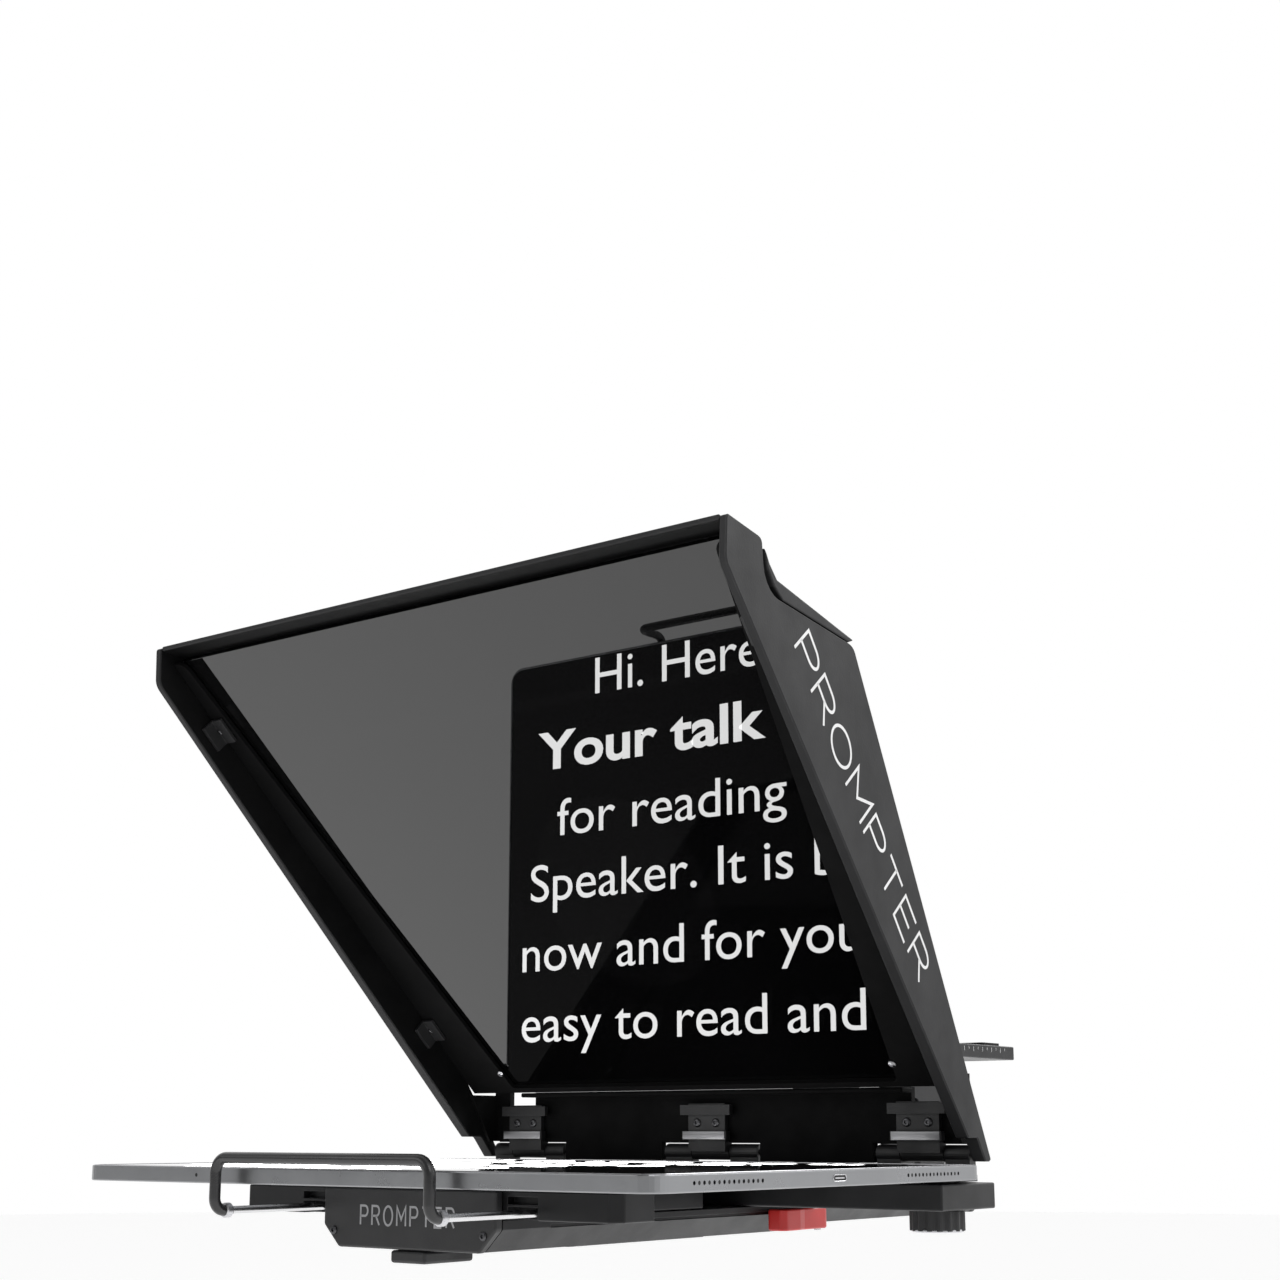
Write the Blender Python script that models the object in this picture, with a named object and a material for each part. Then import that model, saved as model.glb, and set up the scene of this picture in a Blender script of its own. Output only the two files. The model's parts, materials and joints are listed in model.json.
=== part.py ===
"""Tablet teleprompter: a sled with a tray for the tablet, a folding hood with a slanted
beam-splitter mirror, and a camera plate on a riser behind it.

Everything is laid out in millimetres from one datum, the middle of the tablet's front top
edge: +X to the right as the talent sees it, +Y towards the camera, +Z up. The empty named
tray_datum carries that layout to the part's origin, the middle of the tripod plate's
underside. Meshes are in metres."""

import math

import bmesh
import bpy
from mathutils import Quaternion, Vector

MM = 0.001
GAP = 0.3
ROOT2 = math.sqrt(2.0)

# Tablet, 12.9 inch class, screen up, long side across.
TABLET_LENGTH = 280.6
TABLET_WIDTH = 214.9
TABLET_THICK = 5.9
TABLET_CORNER = 8.0
TABLET_RIM = 1.2
SPEAKER_NEAR = 47.9
SPEAKER_FAR = 86.2
SPEAKER_HOLES = 8

# Sled.
SLED_HALF = 43.0
SLED_FRONT = 41.3
SLED_REAR = 400.0
SLED_TOP = -17.8
SLED_BOTTOM = -29.0
SLED_REAR_BOTTOM = -26.5
SLED_STEP = 246.0
SLED_CHAMFER = 8.0
TRIPOD_PLATE_MID = 142.0
TRIPOD_PLATE_FACE = -30.0
TRIPOD_PLATE_HALF_WIDE = 26.0
TRIPOD_PLATE_HALF_LONG = 45.0

# Tray under the tablet.
TRAY_TOP = -7.6
ARM_HALF = 94.0
ARM_REAR = 62.0
SPINE_REAR = 162.0
CROSSBAR_HALF = 135.0
CROSSBAR_FRONT = 190.0
CROSSBAR_REAR = 234.0
CROSSBAR_TOP = -7.2
CROSSBAR_BOTTOM = -17.3

# Front bracket, a bent wire with two steel rods.
WIRE_RADIUS = 2.05
ROD_RADIUS = 1.4
BRACKET_HALF = 53.4
BRACKET_FRONT = -6.9
BRACKET_TOP = 3.6
ROD_HEIGHT = -15.2
ROD_REAR = 98.0

# Hood hinges, on one line across the back of the tray.
HINGE_Y = 230.0
HINGE_Z = 4.0
KNUCKLE_RADIUS = 3.5
PIN_RADIUS = 1.5
PIN_PLAY = 0.09
HINGES = {"left": (-106.0, 21.5), "centre": (0.0, 25.0), "right": (106.0, 21.5)}
LEAF_HALF = 9.9

# Mirror plane: y + z = MIRROR_K, so it leans at 45 degrees over the tablet.
MIRROR_K = 248.4
MIRROR_THICK = 3.0
FRAME_THICK = 2.0
MIRROR_TOP = 122.7
MIRROR_BOTTOM = -127.0
FRAME_BOTTOM = -130.0

# Side panels lean inwards from the top front corner down to the hinges.
PANEL_HALF_TOP = 149.5
PANEL_TAPER = 0.035
PANEL_THICK_TOP = 3.2
PANEL_THICK_GAIN = 2.8
TOP_FRONT = (29.2, 216.6)
BOTTOM_CORNER = (211.6, 10.3)
SHOULDER = (116.1, 188.9)
REAR_SLOPE = 0.619

# Lens axis behind the mirror.
LENS_Z = 112.0
LENS_OPENING = 50.0

# Camera support.
RISER_HALF = 27.0
RISER_FRONT = 335.0
RISER_REAR = 392.0
RISER_TOP = 40.0
RISER_WALL = 4.0
PLATE_HALF = 30.0
PLATE_FRONT = 330.0
PLATE_REAR = 466.0
PLATE_BOTTOM = 50.3
PLATE_TOP = 57.3

# Release lever at the right side of the sled.
LEVER_X = 47.5
LEVER_PIVOT_Y = 239.0
LEVER_FRONT_Y = 206.0
LEVER_HALF = 3.9
LEVER_TOP = -19.0
LEVER_BOTTOM = -27.8

CLAMP_KNOB_X = 120.0
CLAMP_KNOB_Y = 213.0


def clear_scene():
    for old in list(bpy.data.objects):
        bpy.data.objects.remove(old, do_unlink=True)


clear_scene()
DATUM = bpy.data.objects.new("tray_datum", None)
bpy.context.scene.collection.objects.link(DATUM)
DATUM.location = (0.0, -TRIPOD_PLATE_MID * MM, -TRIPOD_PLATE_FACE * MM)


def finish(name, colour, metallic=0.0, roughness=0.5, alpha=1.0):
    material = bpy.data.materials.new(name)
    material.use_nodes = True
    shader = material.node_tree.nodes["Principled BSDF"]
    shader.inputs["Base Color"].default_value = (*colour, 1.0)
    shader.inputs["Metallic"].default_value = metallic
    shader.inputs["Roughness"].default_value = roughness
    shader.inputs["Alpha"].default_value = alpha
    return material


ANODISED = finish("black_anodised", (0.035, 0.035, 0.037), 0.9, 0.42)
HOOD_SHEET = finish("hood_sheet", (0.045, 0.045, 0.047), 0.0, 0.55)
HOOD_INSIDE = finish("hood_inside_black", (0.008, 0.008, 0.008), 0.0, 0.8)
BLACK_PLASTIC = finish("black_plastic", (0.02, 0.02, 0.021), 0.0, 0.45)
COATED_WIRE = finish("coated_wire", (0.02, 0.02, 0.021), 0.0, 0.35)
BRIGHT_STEEL = finish("bright_steel", (0.72, 0.72, 0.73), 1.0, 0.2)
RUBBER = finish("rubber", (0.015, 0.015, 0.015), 0.0, 0.85)
RED_PLASTIC = finish("red_plastic", (0.55, 0.03, 0.025), 0.0, 0.35)
SILVER = finish("tablet_aluminium", (0.62, 0.63, 0.65), 1.0, 0.3)
SCREEN = finish("tablet_screen_glass", (0.01, 0.01, 0.011), 0.0, 0.08)
MIRROR = finish("beam_splitter_glass", (0.25, 0.26, 0.27), 0.2, 0.03, 0.45)


def place(name, form, material, origin=(0.0, 0.0, 0.0), smooth=30.0):
    """Turns a bmesh laid out in millimetres into an object whose origin is at origin."""
    bmesh.ops.recalc_face_normals(form, faces=form.faces)
    bmesh.ops.translate(form, verts=form.verts, vec=-Vector(origin))
    bmesh.ops.scale(form, verts=form.verts, vec=(MM, MM, MM))
    mesh = bpy.data.meshes.new(name)
    form.to_mesh(mesh)
    form.free()
    mesh.shade_smooth()
    mesh.set_sharp_from_angle(angle=math.radians(smooth))
    part = bpy.data.objects.new(name, mesh)
    bpy.context.scene.collection.objects.link(part)
    part.parent = DATUM
    part.location = Vector(origin) * MM
    part.data.materials.append(material)
    return part


def join_form(form, other):
    """Adds a copy of another bmesh to this one and frees the other."""
    carrier = bpy.data.meshes.new("carrier")
    other.to_mesh(carrier)
    form.from_mesh(carrier)
    bpy.data.meshes.remove(carrier)
    other.free()
    return form


def combine(part, form, operation, origin=(0.0, 0.0, 0.0)):
    """Cuts a form out of a part, or unites it with the part, through a hidden helper."""
    name = f"{part.name}_{operation.lower()}_{len(part.modifiers)}"
    helper = place(name, form, part.data.materials[0], origin)
    helper.hide_render = True
    helper.display_type = "WIRE"
    modifier = part.modifiers.new(operation.title(), "BOOLEAN")
    modifier.operation = operation
    modifier.solver = "EXACT"
    modifier.object = helper
    return part


def cut(part, form):
    return combine(part, form, "DIFFERENCE")


def unite(part, form):
    return combine(part, form, "UNION")


def soften(part, width, segments=2):
    bevel = part.modifiers.new("Bevel", "BEVEL")
    bevel.width = width * MM
    bevel.segments = segments
    bevel.limit_method = "ANGLE"
    bevel.angle_limit = math.radians(40.0)
    return part


def prism(near, far):
    """A closed solid between two outlines with the same number of points."""
    form = bmesh.new()
    first = [form.verts.new(point) for point in near]
    second = [form.verts.new(point) for point in far]
    form.faces.new(first)
    form.faces.new(second)
    count = len(first)
    for index in range(count):
        after = (index + 1) % count
        form.faces.new((first[index], first[after], second[after], second[index]))
    return form


def box(low, high):
    outline = ((low[0], low[1]), (high[0], low[1]), (high[0], high[1]), (low[0], high[1]))
    return prism([(x, y, low[2]) for x, y in outline], [(x, y, high[2]) for x, y in outline])


def plan(outline, low, high):
    """An outline in X and Y, extruded in Z."""
    return prism([(x, y, low) for x, y in outline], [(x, y, high) for x, y in outline])


def front_view(outline, near, far):
    """An outline in X and Z, extruded in Y."""
    return prism([(x, near, z) for x, z in outline], [(x, far, z) for x, z in outline])


def side_view(outline, left, right):
    """An outline in Y and Z; left and right give X, as numbers or as functions of y and z."""

    def across(limit, y, z):
        return limit(y, z) if callable(limit) else limit

    return prism(
        [(across(left, y, z), y, z) for y, z in outline],
        [(across(right, y, z), y, z) for y, z in outline],
    )


def rod(start, end, radius, sides=24):
    """A round bar from start to end."""
    start, end = Vector(start), Vector(end)
    turn = Vector((0.0, 0.0, 1.0)).rotation_difference(end - start)
    ring = [
        turn @ Vector((radius * math.cos(angle), radius * math.sin(angle), 0.0))
        for angle in (2.0 * math.pi * step / sides for step in range(sides))
    ]
    return prism([start + offset for offset in ring], [end + offset for offset in ring])


def rounded(corners, segments=5):
    """An outline with each corner (a, b, radius) turned into an arc of that radius."""
    outline = []
    count = len(corners)
    for index, (a, b, radius) in enumerate(corners):
        corner = Vector((a, b))
        if radius <= 0.0:
            outline.append(corner)
            continue
        before = (Vector(corners[index - 1][:2]) - corner).normalized()
        after = (Vector(corners[(index + 1) % count][:2]) - corner).normalized()
        half = before.angle(after) / 2.0
        centre = corner + (before + after).normalized() * (radius / math.sin(half))
        start = corner + before * (radius / math.tan(half)) - centre
        end = corner + after * (radius / math.tan(half)) - centre
        sweep = start.angle_signed(end)
        for step in range(segments + 1):
            angle = -sweep * step / segments
            turned = Vector(
                (
                    start.x * math.cos(angle) - start.y * math.sin(angle),
                    start.x * math.sin(angle) + start.y * math.cos(angle),
                )
            )
            outline.append(centre + turned)
    return [tuple(point) for point in outline]


def rectangle(half_a, half_b, radius, centre=(0.0, 0.0), segments=5):
    a, b = centre
    return rounded(
        [
            (a - half_a, b - half_b, radius),
            (a + half_a, b - half_b, radius),
            (a + half_a, b + half_b, radius),
            (a - half_a, b + half_b, radius),
        ],
        segments,
    )


def fluted(radius, depth, flutes, centre):
    """The outline of a knurled knob: a circle with shallow flutes."""
    points = flutes * 6
    outline = []
    for step in range(points):
        angle = 2.0 * math.pi * step / points
        reach = radius - depth * 0.5 * (1.0 + math.cos(flutes * angle))
        outline.append((centre[0] + reach * math.cos(angle), centre[1] + reach * math.sin(angle)))
    return outline


def bend(before, corner, after, radius, segments=6):
    """Points of the arc that rounds the corner of a wire."""
    before, corner, after = Vector(before), Vector(corner), Vector(after)
    back = (before - corner).normalized()
    on = (after - corner).normalized()
    start = corner + back * radius
    centre = start + on * radius
    return [
        centre - on * radius * math.cos(angle) - back * radius * math.sin(angle)
        for angle in (math.pi / 2.0 * step / segments for step in range(segments + 1))
    ]


def wire(route, radius, sides=12):
    """A round wire along the route, capped at both ends, with an even section all along."""
    form = bmesh.new()
    rings = []
    heading = (route[1] - route[0]).normalized()
    across = heading.orthogonal().normalized()
    for index, point in enumerate(route):
        ahead = route[min(index + 1, len(route) - 1)] - route[max(index - 1, 0)]
        ahead.normalize()
        across = heading.rotation_difference(ahead) @ across
        heading = ahead
        ring = [
            form.verts.new(point + Quaternion(heading, 2.0 * math.pi * side / sides) @ across * radius)
            for side in range(sides)
        ]
        rings.append(ring)
    for ring, following in zip(rings, rings[1:]):
        for side in range(sides):
            after = (side + 1) % sides
            form.faces.new((ring[side], ring[after], following[after], following[side]))
    form.faces.new(rings[0])
    form.faces.new(rings[-1])
    return form


def both_sides():
    return (("left", -1.0), ("right", 1.0))


# Sled


def sled_section(bottom):
    return [
        (-SLED_HALF, SLED_TOP),
        (SLED_HALF, SLED_TOP),
        (SLED_HALF, bottom + SLED_CHAMFER),
        (SLED_HALF - SLED_CHAMFER, bottom),
        (-SLED_HALF + SLED_CHAMFER, bottom),
        (-SLED_HALF, bottom + SLED_CHAMFER),
    ]


def make_sled_rail():
    rail = place("sled_rail", front_view(sled_section(SLED_BOTTOM), SLED_FRONT, SLED_STEP), ANODISED)
    unite(rail, front_view(sled_section(SLED_REAR_BOTTOM), SLED_STEP - 1.0, SLED_REAR))
    pocket_wide = TRIPOD_PLATE_HALF_WIDE + GAP
    pocket_long = TRIPOD_PLATE_HALF_LONG + GAP
    cut(
        rail,
        box(
            (-pocket_wide, TRIPOD_PLATE_MID - pocket_long, SLED_BOTTOM - 1.0),
            (pocket_wide, TRIPOD_PLATE_MID + pocket_long, SLED_BOTTOM + 3.5),
        ),
    )
    for _, side in both_sides():
        edge = side * SLED_HALF
        low, high = sorted((edge - side * 1.2, edge + side * 2.0))
        cut(rail, box((low, SLED_FRONT + 26.0, -21.2), (high, SLED_REAR + 1.0, -20.0)))


def make_sled_caps():
    for name, near, far, top in (
        ("front_end_cap", SLED_FRONT - 4.1, SLED_FRONT - GAP, TRAY_TOP + 0.1),
        ("rear_end_cap", SLED_REAR + GAP, SLED_REAR + 4.1, SLED_TOP + 0.3),
    ):
        bottom = (SLED_BOTTOM if name == "front_end_cap" else SLED_REAR_BOTTOM) - 0.2
        half = SLED_HALF + 0.2
        outline = [
            (-half, top),
            (half, top),
            (half, bottom + SLED_CHAMFER),
            (half - SLED_CHAMFER, bottom),
            (-half + SLED_CHAMFER, bottom),
            (-half, bottom + SLED_CHAMFER),
        ]
        soften(place(name, front_view(outline, near, far), BLACK_PLASTIC), 0.8)


def make_front_foot():
    block = box((-8.7, 38.0, -34.0), (8.7, 64.0, SLED_BOTTOM - 0.5))
    soften(place("front_foot_block", block, BLACK_PLASTIC), 1.0)


def make_tripod_plate():
    outline = rectangle(TRIPOD_PLATE_HALF_WIDE, TRIPOD_PLATE_HALF_LONG, 3.0, (0.0, TRIPOD_PLATE_MID))
    plate = place("tripod_plate", plan(outline, TRIPOD_PLATE_FACE, SLED_BOTTOM + 3.2), ANODISED)
    for offset, radius in ((-20.0, 4.8), (20.0, 3.2)):
        y = TRIPOD_PLATE_MID + offset
        cut(plate, rod((0.0, y, TRIPOD_PLATE_FACE - 1.0), (0.0, y, SLED_BOTTOM + 5.0), radius))
    for name, offset in (("tripod_screw_front", -38.0), ("tripod_screw_rear", 38.0)):
        y = TRIPOD_PLATE_MID + offset
        cut(plate, rod((0.0, y, TRIPOD_PLATE_FACE - 1.0), (0.0, y, SLED_BOTTOM + 5.0), 4.6))
        screw = place(name, rod((0.0, y, -29.7), (0.0, y, SLED_BOTTOM + 3.1), 4.3), BRIGHT_STEEL)
        cut(screw, rod((0.0, y, -31.0), (0.0, y, -27.8), 2.2, 6))


# Tray


def make_front_arm():
    chamfer = 4.0
    outline = [
        (-ARM_HALF + chamfer, SLED_FRONT),
        (ARM_HALF - chamfer, SLED_FRONT),
        (ARM_HALF, SLED_FRONT + chamfer),
        (ARM_HALF, ARM_REAR),
        (-ARM_HALF, ARM_REAR),
        (-ARM_HALF, SLED_FRONT + chamfer),
    ]
    part = soften(place("tray_front_arm", plan(outline, SLED_TOP + GAP, TRAY_TOP), ANODISED), 0.5)
    for _, side in both_sides():
        bore_x = side * BRACKET_HALF
        bore = (bore_x, SLED_FRONT - 2.0, ROD_HEIGHT), (bore_x, ARM_REAR + 2.0, ROD_HEIGHT)
        cut(part, rod(*bore, ROD_RADIUS + 0.25))
        low, high = sorted((side * 45.0, side * 59.0))
        cut(part, box((low, SLED_FRONT - 1.0, SLED_TOP - 1.0), (high, SLED_FRONT + 6.0, -13.0)))
        cut(part, box((low, SLED_FRONT - 1.0, -12.2), (high, SLED_FRONT + 3.5, -9.5)))


def make_spine():
    spine = box((-SLED_HALF + 0.2, ARM_REAR + GAP, SLED_TOP + GAP), (SLED_HALF - 0.2, SPINE_REAR, TRAY_TOP))
    part = soften(place("tray_spine", spine, ANODISED), 0.7)
    for middle in (90.0, 134.0):
        window = rectangle(17.0, 14.0, 4.0, (0.0, middle))
        cut(part, plan(window, SLED_TOP - 2.0, TRAY_TOP + 2.0))


def make_crossbar():
    bar = box((-CROSSBAR_HALF, CROSSBAR_FRONT, CROSSBAR_BOTTOM), (CROSSBAR_HALF, CROSSBAR_REAR, CROSSBAR_TOP))
    part = soften(place("rear_crossbar", bar, ANODISED), 0.7)
    for _, side in both_sides():
        recess = rectangle(18.0, 6.0, 5.9, (side * 80.0, 213.0))
        cut(part, plan(recess, CROSSBAR_BOTTOM - 1.0, CROSSBAR_BOTTOM + 1.5))
        knob_x = side * CLAMP_KNOB_X
        low, high = (knob_x, CLAMP_KNOB_Y, CROSSBAR_BOTTOM - 1.0), (knob_x, CLAMP_KNOB_Y, CROSSBAR_TOP + 1.0)
        cut(part, rod(low, high, 2.8))


def make_pads():
    pads = (
        ("front_pad", 80.0, 46.0, 58.0, TRAY_TOP + GAP),
        ("rear_pad", 96.0, 194.0, 203.0, CROSSBAR_TOP + GAP),
    )
    for name, half, near, far, bottom in pads:
        outline = rectangle(half, (far - near) / 2.0, 2.0, (0.0, (near + far) / 2.0))
        place(name, plan(outline, bottom, -TABLET_THICK - GAP), RUBBER)


def make_rear_stops():
    for name, side in both_sides():
        outline = rectangle(9.0, 1.9, 1.0, (side * 62.0, 217.4))
        place(f"rear_stop_{name}", plan(outline, CROSSBAR_TOP + GAP, -1.2), RUBBER)


# Hood hinges


def make_hinges():
    for name, (middle, half) in HINGES.items():
        base_bottom = CROSSBAR_TOP + GAP
        base = place(
            f"hinge_base_{name}",
            box((middle - half, 219.0, base_bottom), (middle + half, 233.6, base_bottom + 2.5)),
            BLACK_PLASTIC,
        )
        for _, side in both_sides():
            near = middle + side * (LEAF_HALF + 0.4)
            far = middle + side * half
            low, high = min(near, far), max(near, far)
            unite(base, box((low, 227.4, base_bottom + 0.5), (high, 232.6, HINGE_Z)))
            unite(base, rod((low, HINGE_Y, HINGE_Z), (high, HINGE_Y, HINGE_Z), KNUCKLE_RADIUS))
        reach = half + 2.0
        left, right = (middle - reach, HINGE_Y, HINGE_Z), (middle + reach, HINGE_Y, HINGE_Z)
        cut(base, rod(left, right, PIN_RADIUS + PIN_PLAY))
        pin_end = half + 0.6
        place(
            f"hinge_pin_{name}",
            rod((middle - pin_end, HINGE_Y, HINGE_Z), (middle + pin_end, HINGE_Y, HINGE_Z), PIN_RADIUS),
            BRIGHT_STEEL,
        )
        make_leaf(name, middle)


def make_leaf(name, middle):
    low, high = middle - LEAF_HALF, middle + LEAF_HALF
    leaf = place(
        f"hinge_leaf_{name}",
        rod((low, HINGE_Y, HINGE_Z), (high, HINGE_Y, HINGE_Z), KNUCKLE_RADIUS),
        BLACK_PLASTIC,
        origin=(middle, HINGE_Y, HINGE_Z),
    )
    unite(leaf, box((low, 224.1, 4.2), (high, 229.4, 8.9)))
    unite(leaf, box((low, 224.1, 6.0), (high, 226.5, 25.0)))
    unite(leaf, box((low - 2.0, 222.0, 9.2), (high + 2.0, 225.0, 13.0)))
    unite(leaf, box((low - 3.5, 222.6, 20.0), (high + 3.5, 225.0, 24.4)))
    cut(leaf, rod((low - 1.0, HINGE_Y, HINGE_Z), (high + 1.0, HINGE_Y, HINGE_Z), PIN_RADIUS + PIN_PLAY))


# Front bracket


def make_bracket():
    half, front, top, low = BRACKET_HALF, BRACKET_FRONT, BRACKET_TOP, ROD_HEIGHT
    corners = [
        (-half, 0.6, low),
        (-half, front, low),
        (-half, front, top),
        (half, front, top),
        (half, front, low),
        (half, 0.6, low),
    ]
    route = [Vector(corners[0])]
    for index, radius in ((1, 4.5), (2, 5.5), (3, 5.5), (4, 4.5)):
        route += bend(corners[index - 1], corners[index], corners[index + 1], radius)
    route.append(Vector(corners[-1]))
    place("bracket_loop", wire(route, WIRE_RADIUS), COATED_WIRE, origin=(0.0, front, low))
    for name, side in both_sides():
        x = side * half
        bar = rod((x, 0.9, low), (x, ROD_REAR, low), ROD_RADIUS)
        place(f"bracket_rod_{name}", bar, BRIGHT_STEEL, (x, 0.9, low))
        collar = rod((x, ROD_REAR + GAP, low), (x, ROD_REAR + 4.0, low), 3.6)
        place(f"bracket_stop_{name}", collar, BLACK_PLASTIC, (x, ROD_REAR, low))


# Release lever and clamp knobs


def make_release_lever():
    pivot = (LEVER_X, LEVER_PIVOT_Y)
    outline = [
        (pivot[0] + LEVER_HALF * math.cos(angle), pivot[1] + LEVER_HALF * math.sin(angle))
        for angle in (math.pi * step / 10.0 for step in range(11))
    ]
    outline += [
        (LEVER_X - LEVER_HALF, LEVER_FRONT_Y + 1.0),
        (LEVER_X - LEVER_HALF + 1.0, LEVER_FRONT_Y),
        (LEVER_X + 3.0, LEVER_FRONT_Y),
        (LEVER_X + 5.0, LEVER_FRONT_Y + 2.0),
        (LEVER_X + 5.0, LEVER_FRONT_Y + 12.0),
        (LEVER_X + LEVER_HALF, LEVER_FRONT_Y + 17.0),
    ]
    origin = (LEVER_X, LEVER_PIVOT_Y, LEVER_BOTTOM)
    lever = soften(place("release_lever", plan(outline, LEVER_BOTTOM, LEVER_TOP), RED_PLASTIC, origin), 0.8)
    cut(lever, rod((*pivot, LEVER_BOTTOM - 2.0), (*pivot, LEVER_TOP + 2.0), 1.8))
    pin = rod((*pivot, LEVER_BOTTOM - 0.8), (*pivot, CROSSBAR_BOTTOM - GAP), 1.5)
    place("release_lever_pin", pin, BRIGHT_STEEL)


def make_clamp_knobs():
    for name, side in both_sides():
        centre = (side * CLAMP_KNOB_X, CLAMP_KNOB_Y)
        origin = (*centre, CROSSBAR_BOTTOM)
        knob = plan(fluted(11.0, 0.9, 16, centre), -25.6, CROSSBAR_BOTTOM - 0.6)
        part = place(f"clamp_knob_{name}", knob, BLACK_PLASTIC, origin, 50.0)
        unite(part, rod((*centre, -19.0), (*centre, CROSSBAR_TOP - 0.5), 2.4))
        cut(part, rod((*centre, -27.0), (*centre, -24.4), 6.5))


# Camera support


def make_riser():
    outer = [
        (-RISER_HALF, SLED_TOP + GAP),
        (RISER_HALF, SLED_TOP + GAP),
        (RISER_HALF, RISER_TOP),
        (-RISER_HALF, RISER_TOP),
    ]
    riser = soften(place("camera_riser", front_view(outer, RISER_FRONT, RISER_REAR), ANODISED), 1.0)
    inner = RISER_HALF - RISER_WALL
    hollow = rectangle(
        inner, (RISER_TOP - SLED_TOP) / 2.0 - RISER_WALL, 3.0, (0.0, (RISER_TOP + SLED_TOP) / 2.0)
    )
    cut(riser, front_view(hollow, RISER_FRONT - 2.0, RISER_REAR + 2.0))
    middle = (RISER_FRONT + RISER_REAR) / 2.0
    slot = rectangle(3.2, 17.0, 3.1, (middle, 12.0))
    cut(riser, side_view(slot, -RISER_HALF - 2.0, RISER_HALF + 2.0))


def make_cradle():
    near, far = RISER_FRONT - 5.0, RISER_REAR + 4.0
    floor = RISER_TOP + GAP
    section = [
        (-31.0, floor),
        (31.0, floor),
        (31.0, PLATE_BOTTOM - GAP),
        (26.2, PLATE_BOTTOM - GAP),
        (26.2, floor + 3.8),
        (-26.2, floor + 3.8),
        (-26.2, PLATE_BOTTOM - GAP),
        (-31.0, PLATE_BOTTOM - GAP),
    ]
    cradle = soften(place("camera_cradle", front_view(section, near, far), ANODISED), 0.6)
    middle = (near + far) / 2.0
    cut(cradle, rod((-33.0, middle, 46.8), (-25.0, middle, 46.8), 2.3))


def make_camera_plate():
    tongue = RISER_TOP + GAP + 3.8 + GAP
    middle = (PLATE_FRONT + PLATE_REAR) / 2.0
    origin = (0.0, middle, PLATE_BOTTOM)
    slab = box((-PLATE_HALF, PLATE_FRONT, PLATE_BOTTOM), (PLATE_HALF, PLATE_REAR, PLATE_TOP))
    plate = soften(place("camera_plate", slab, ANODISED, origin), 0.6)
    for near, far in ((-25.8, -9.0), (9.0, 25.8)):
        unite(plate, box((near, PLATE_FRONT, tongue), (far, PLATE_FRONT + 70.0, PLATE_BOTTOM + 1.0)))
    cut(plate, plan(rectangle(3.6, 42.0, 3.5, (0.0, middle)), PLATE_BOTTOM - 2.0, PLATE_TOP + 2.0))
    pads = (("front", PLATE_FRONT + 4.0, middle - 44.0), ("rear", middle + 44.0, PLATE_REAR - 4.0))
    for name, near, far in pads:
        outline = rectangle(24.0, (far - near) / 2.0, 2.0, (0.0, (near + far) / 2.0))
        place(f"camera_pad_{name}", plan(outline, PLATE_TOP + GAP, PLATE_TOP + 1.8), RUBBER, origin)
    head = plan(fluted(7.2, 0.5, 14, (0.0, middle)), tongue + 0.4, PLATE_BOTTOM - 1.7)
    screw = place("camera_screw", head, BRIGHT_STEEL, origin, 50.0)
    unite(screw, rod((0.0, middle, PLATE_BOTTOM - 2.5), (0.0, middle, PLATE_TOP + 6.5), 3.1))
    washer_top = PLATE_BOTTOM - GAP
    washer = rod((0.0, middle, washer_top - 1.0), (0.0, middle, washer_top), 7.2)
    cut(
        place("camera_screw_washer", washer, BRIGHT_STEEL, origin),
        rod((0.0, middle, washer_top - 3.0), (0.0, middle, washer_top + 2.0), 3.3),
    )


def make_cradle_knob():
    middle = (RISER_FRONT + RISER_REAR - 1.0) / 2.0
    centre = (middle, 46.8)
    origin = (-31.3, middle, 46.8)
    knob = side_view(fluted(9.0, 0.8, 12, centre), -41.0, -32.2)
    part = place("cradle_lock_knob", knob, BLACK_PLASTIC, origin, 50.0)
    unite(part, rod((-34.0, *centre), (-27.0, *centre), 2.0))


# Hood


def panel_outer(y, z):
    return PANEL_HALF_TOP - PANEL_TAPER * (y - z - TOP_FRONT[0] + TOP_FRONT[1])


def panel_inner(y, z):
    run = y - z - TOP_FRONT[0] + TOP_FRONT[1]
    return panel_outer(y, z) - PANEL_THICK_TOP - PANEL_THICK_GAIN * run / 385.0


def mirrored(limit, side, inset=0.0):
    return lambda y, z: side * (limit(y, z) - inset)


def make_side_panels():
    bottom = 1.0
    rear_bottom = SHOULDER[0] + REAR_SLOPE * (SHOULDER[1] - bottom)
    outline = rounded(
        [
            (*TOP_FRONT, 1.5),
            (TOP_FRONT[0], 200.0, 7.0),
            (*BOTTOM_CORNER, 1.5),
            (219.5, BOTTOM_CORNER[1], 2.0),
            (227.0, bottom, 1.0),
            (rear_bottom, bottom, 1.0),
            (*SHOULDER, 6.0),
            (54.3, 195.3, 12.0),
            (51.8, 213.6, 3.0),
        ]
    )
    for name, side in both_sides():
        form = side_view(outline, mirrored(panel_outer, side), mirrored(panel_inner, side))
        soften(place(f"side_panel_{name}", form, HOOD_SHEET, (0.0, HINGE_Y, HINGE_Z)), 0.5, 1)


def make_roof():
    outline = [
        (29.6, 214.9),
        (29.6, 216.9),
        (50.8, 214.1),
        (52.2, 204.6),
        (49.8, 204.6),
        (48.4, 212.0),
    ]
    form = side_view(outline, mirrored(panel_inner, -1.0, GAP), mirrored(panel_inner, 1.0, GAP))
    soften(place("hood_roof", form, HOOD_SHEET, (0.0, HINGE_Y, HINGE_Z)), 0.4, 1)


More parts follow.
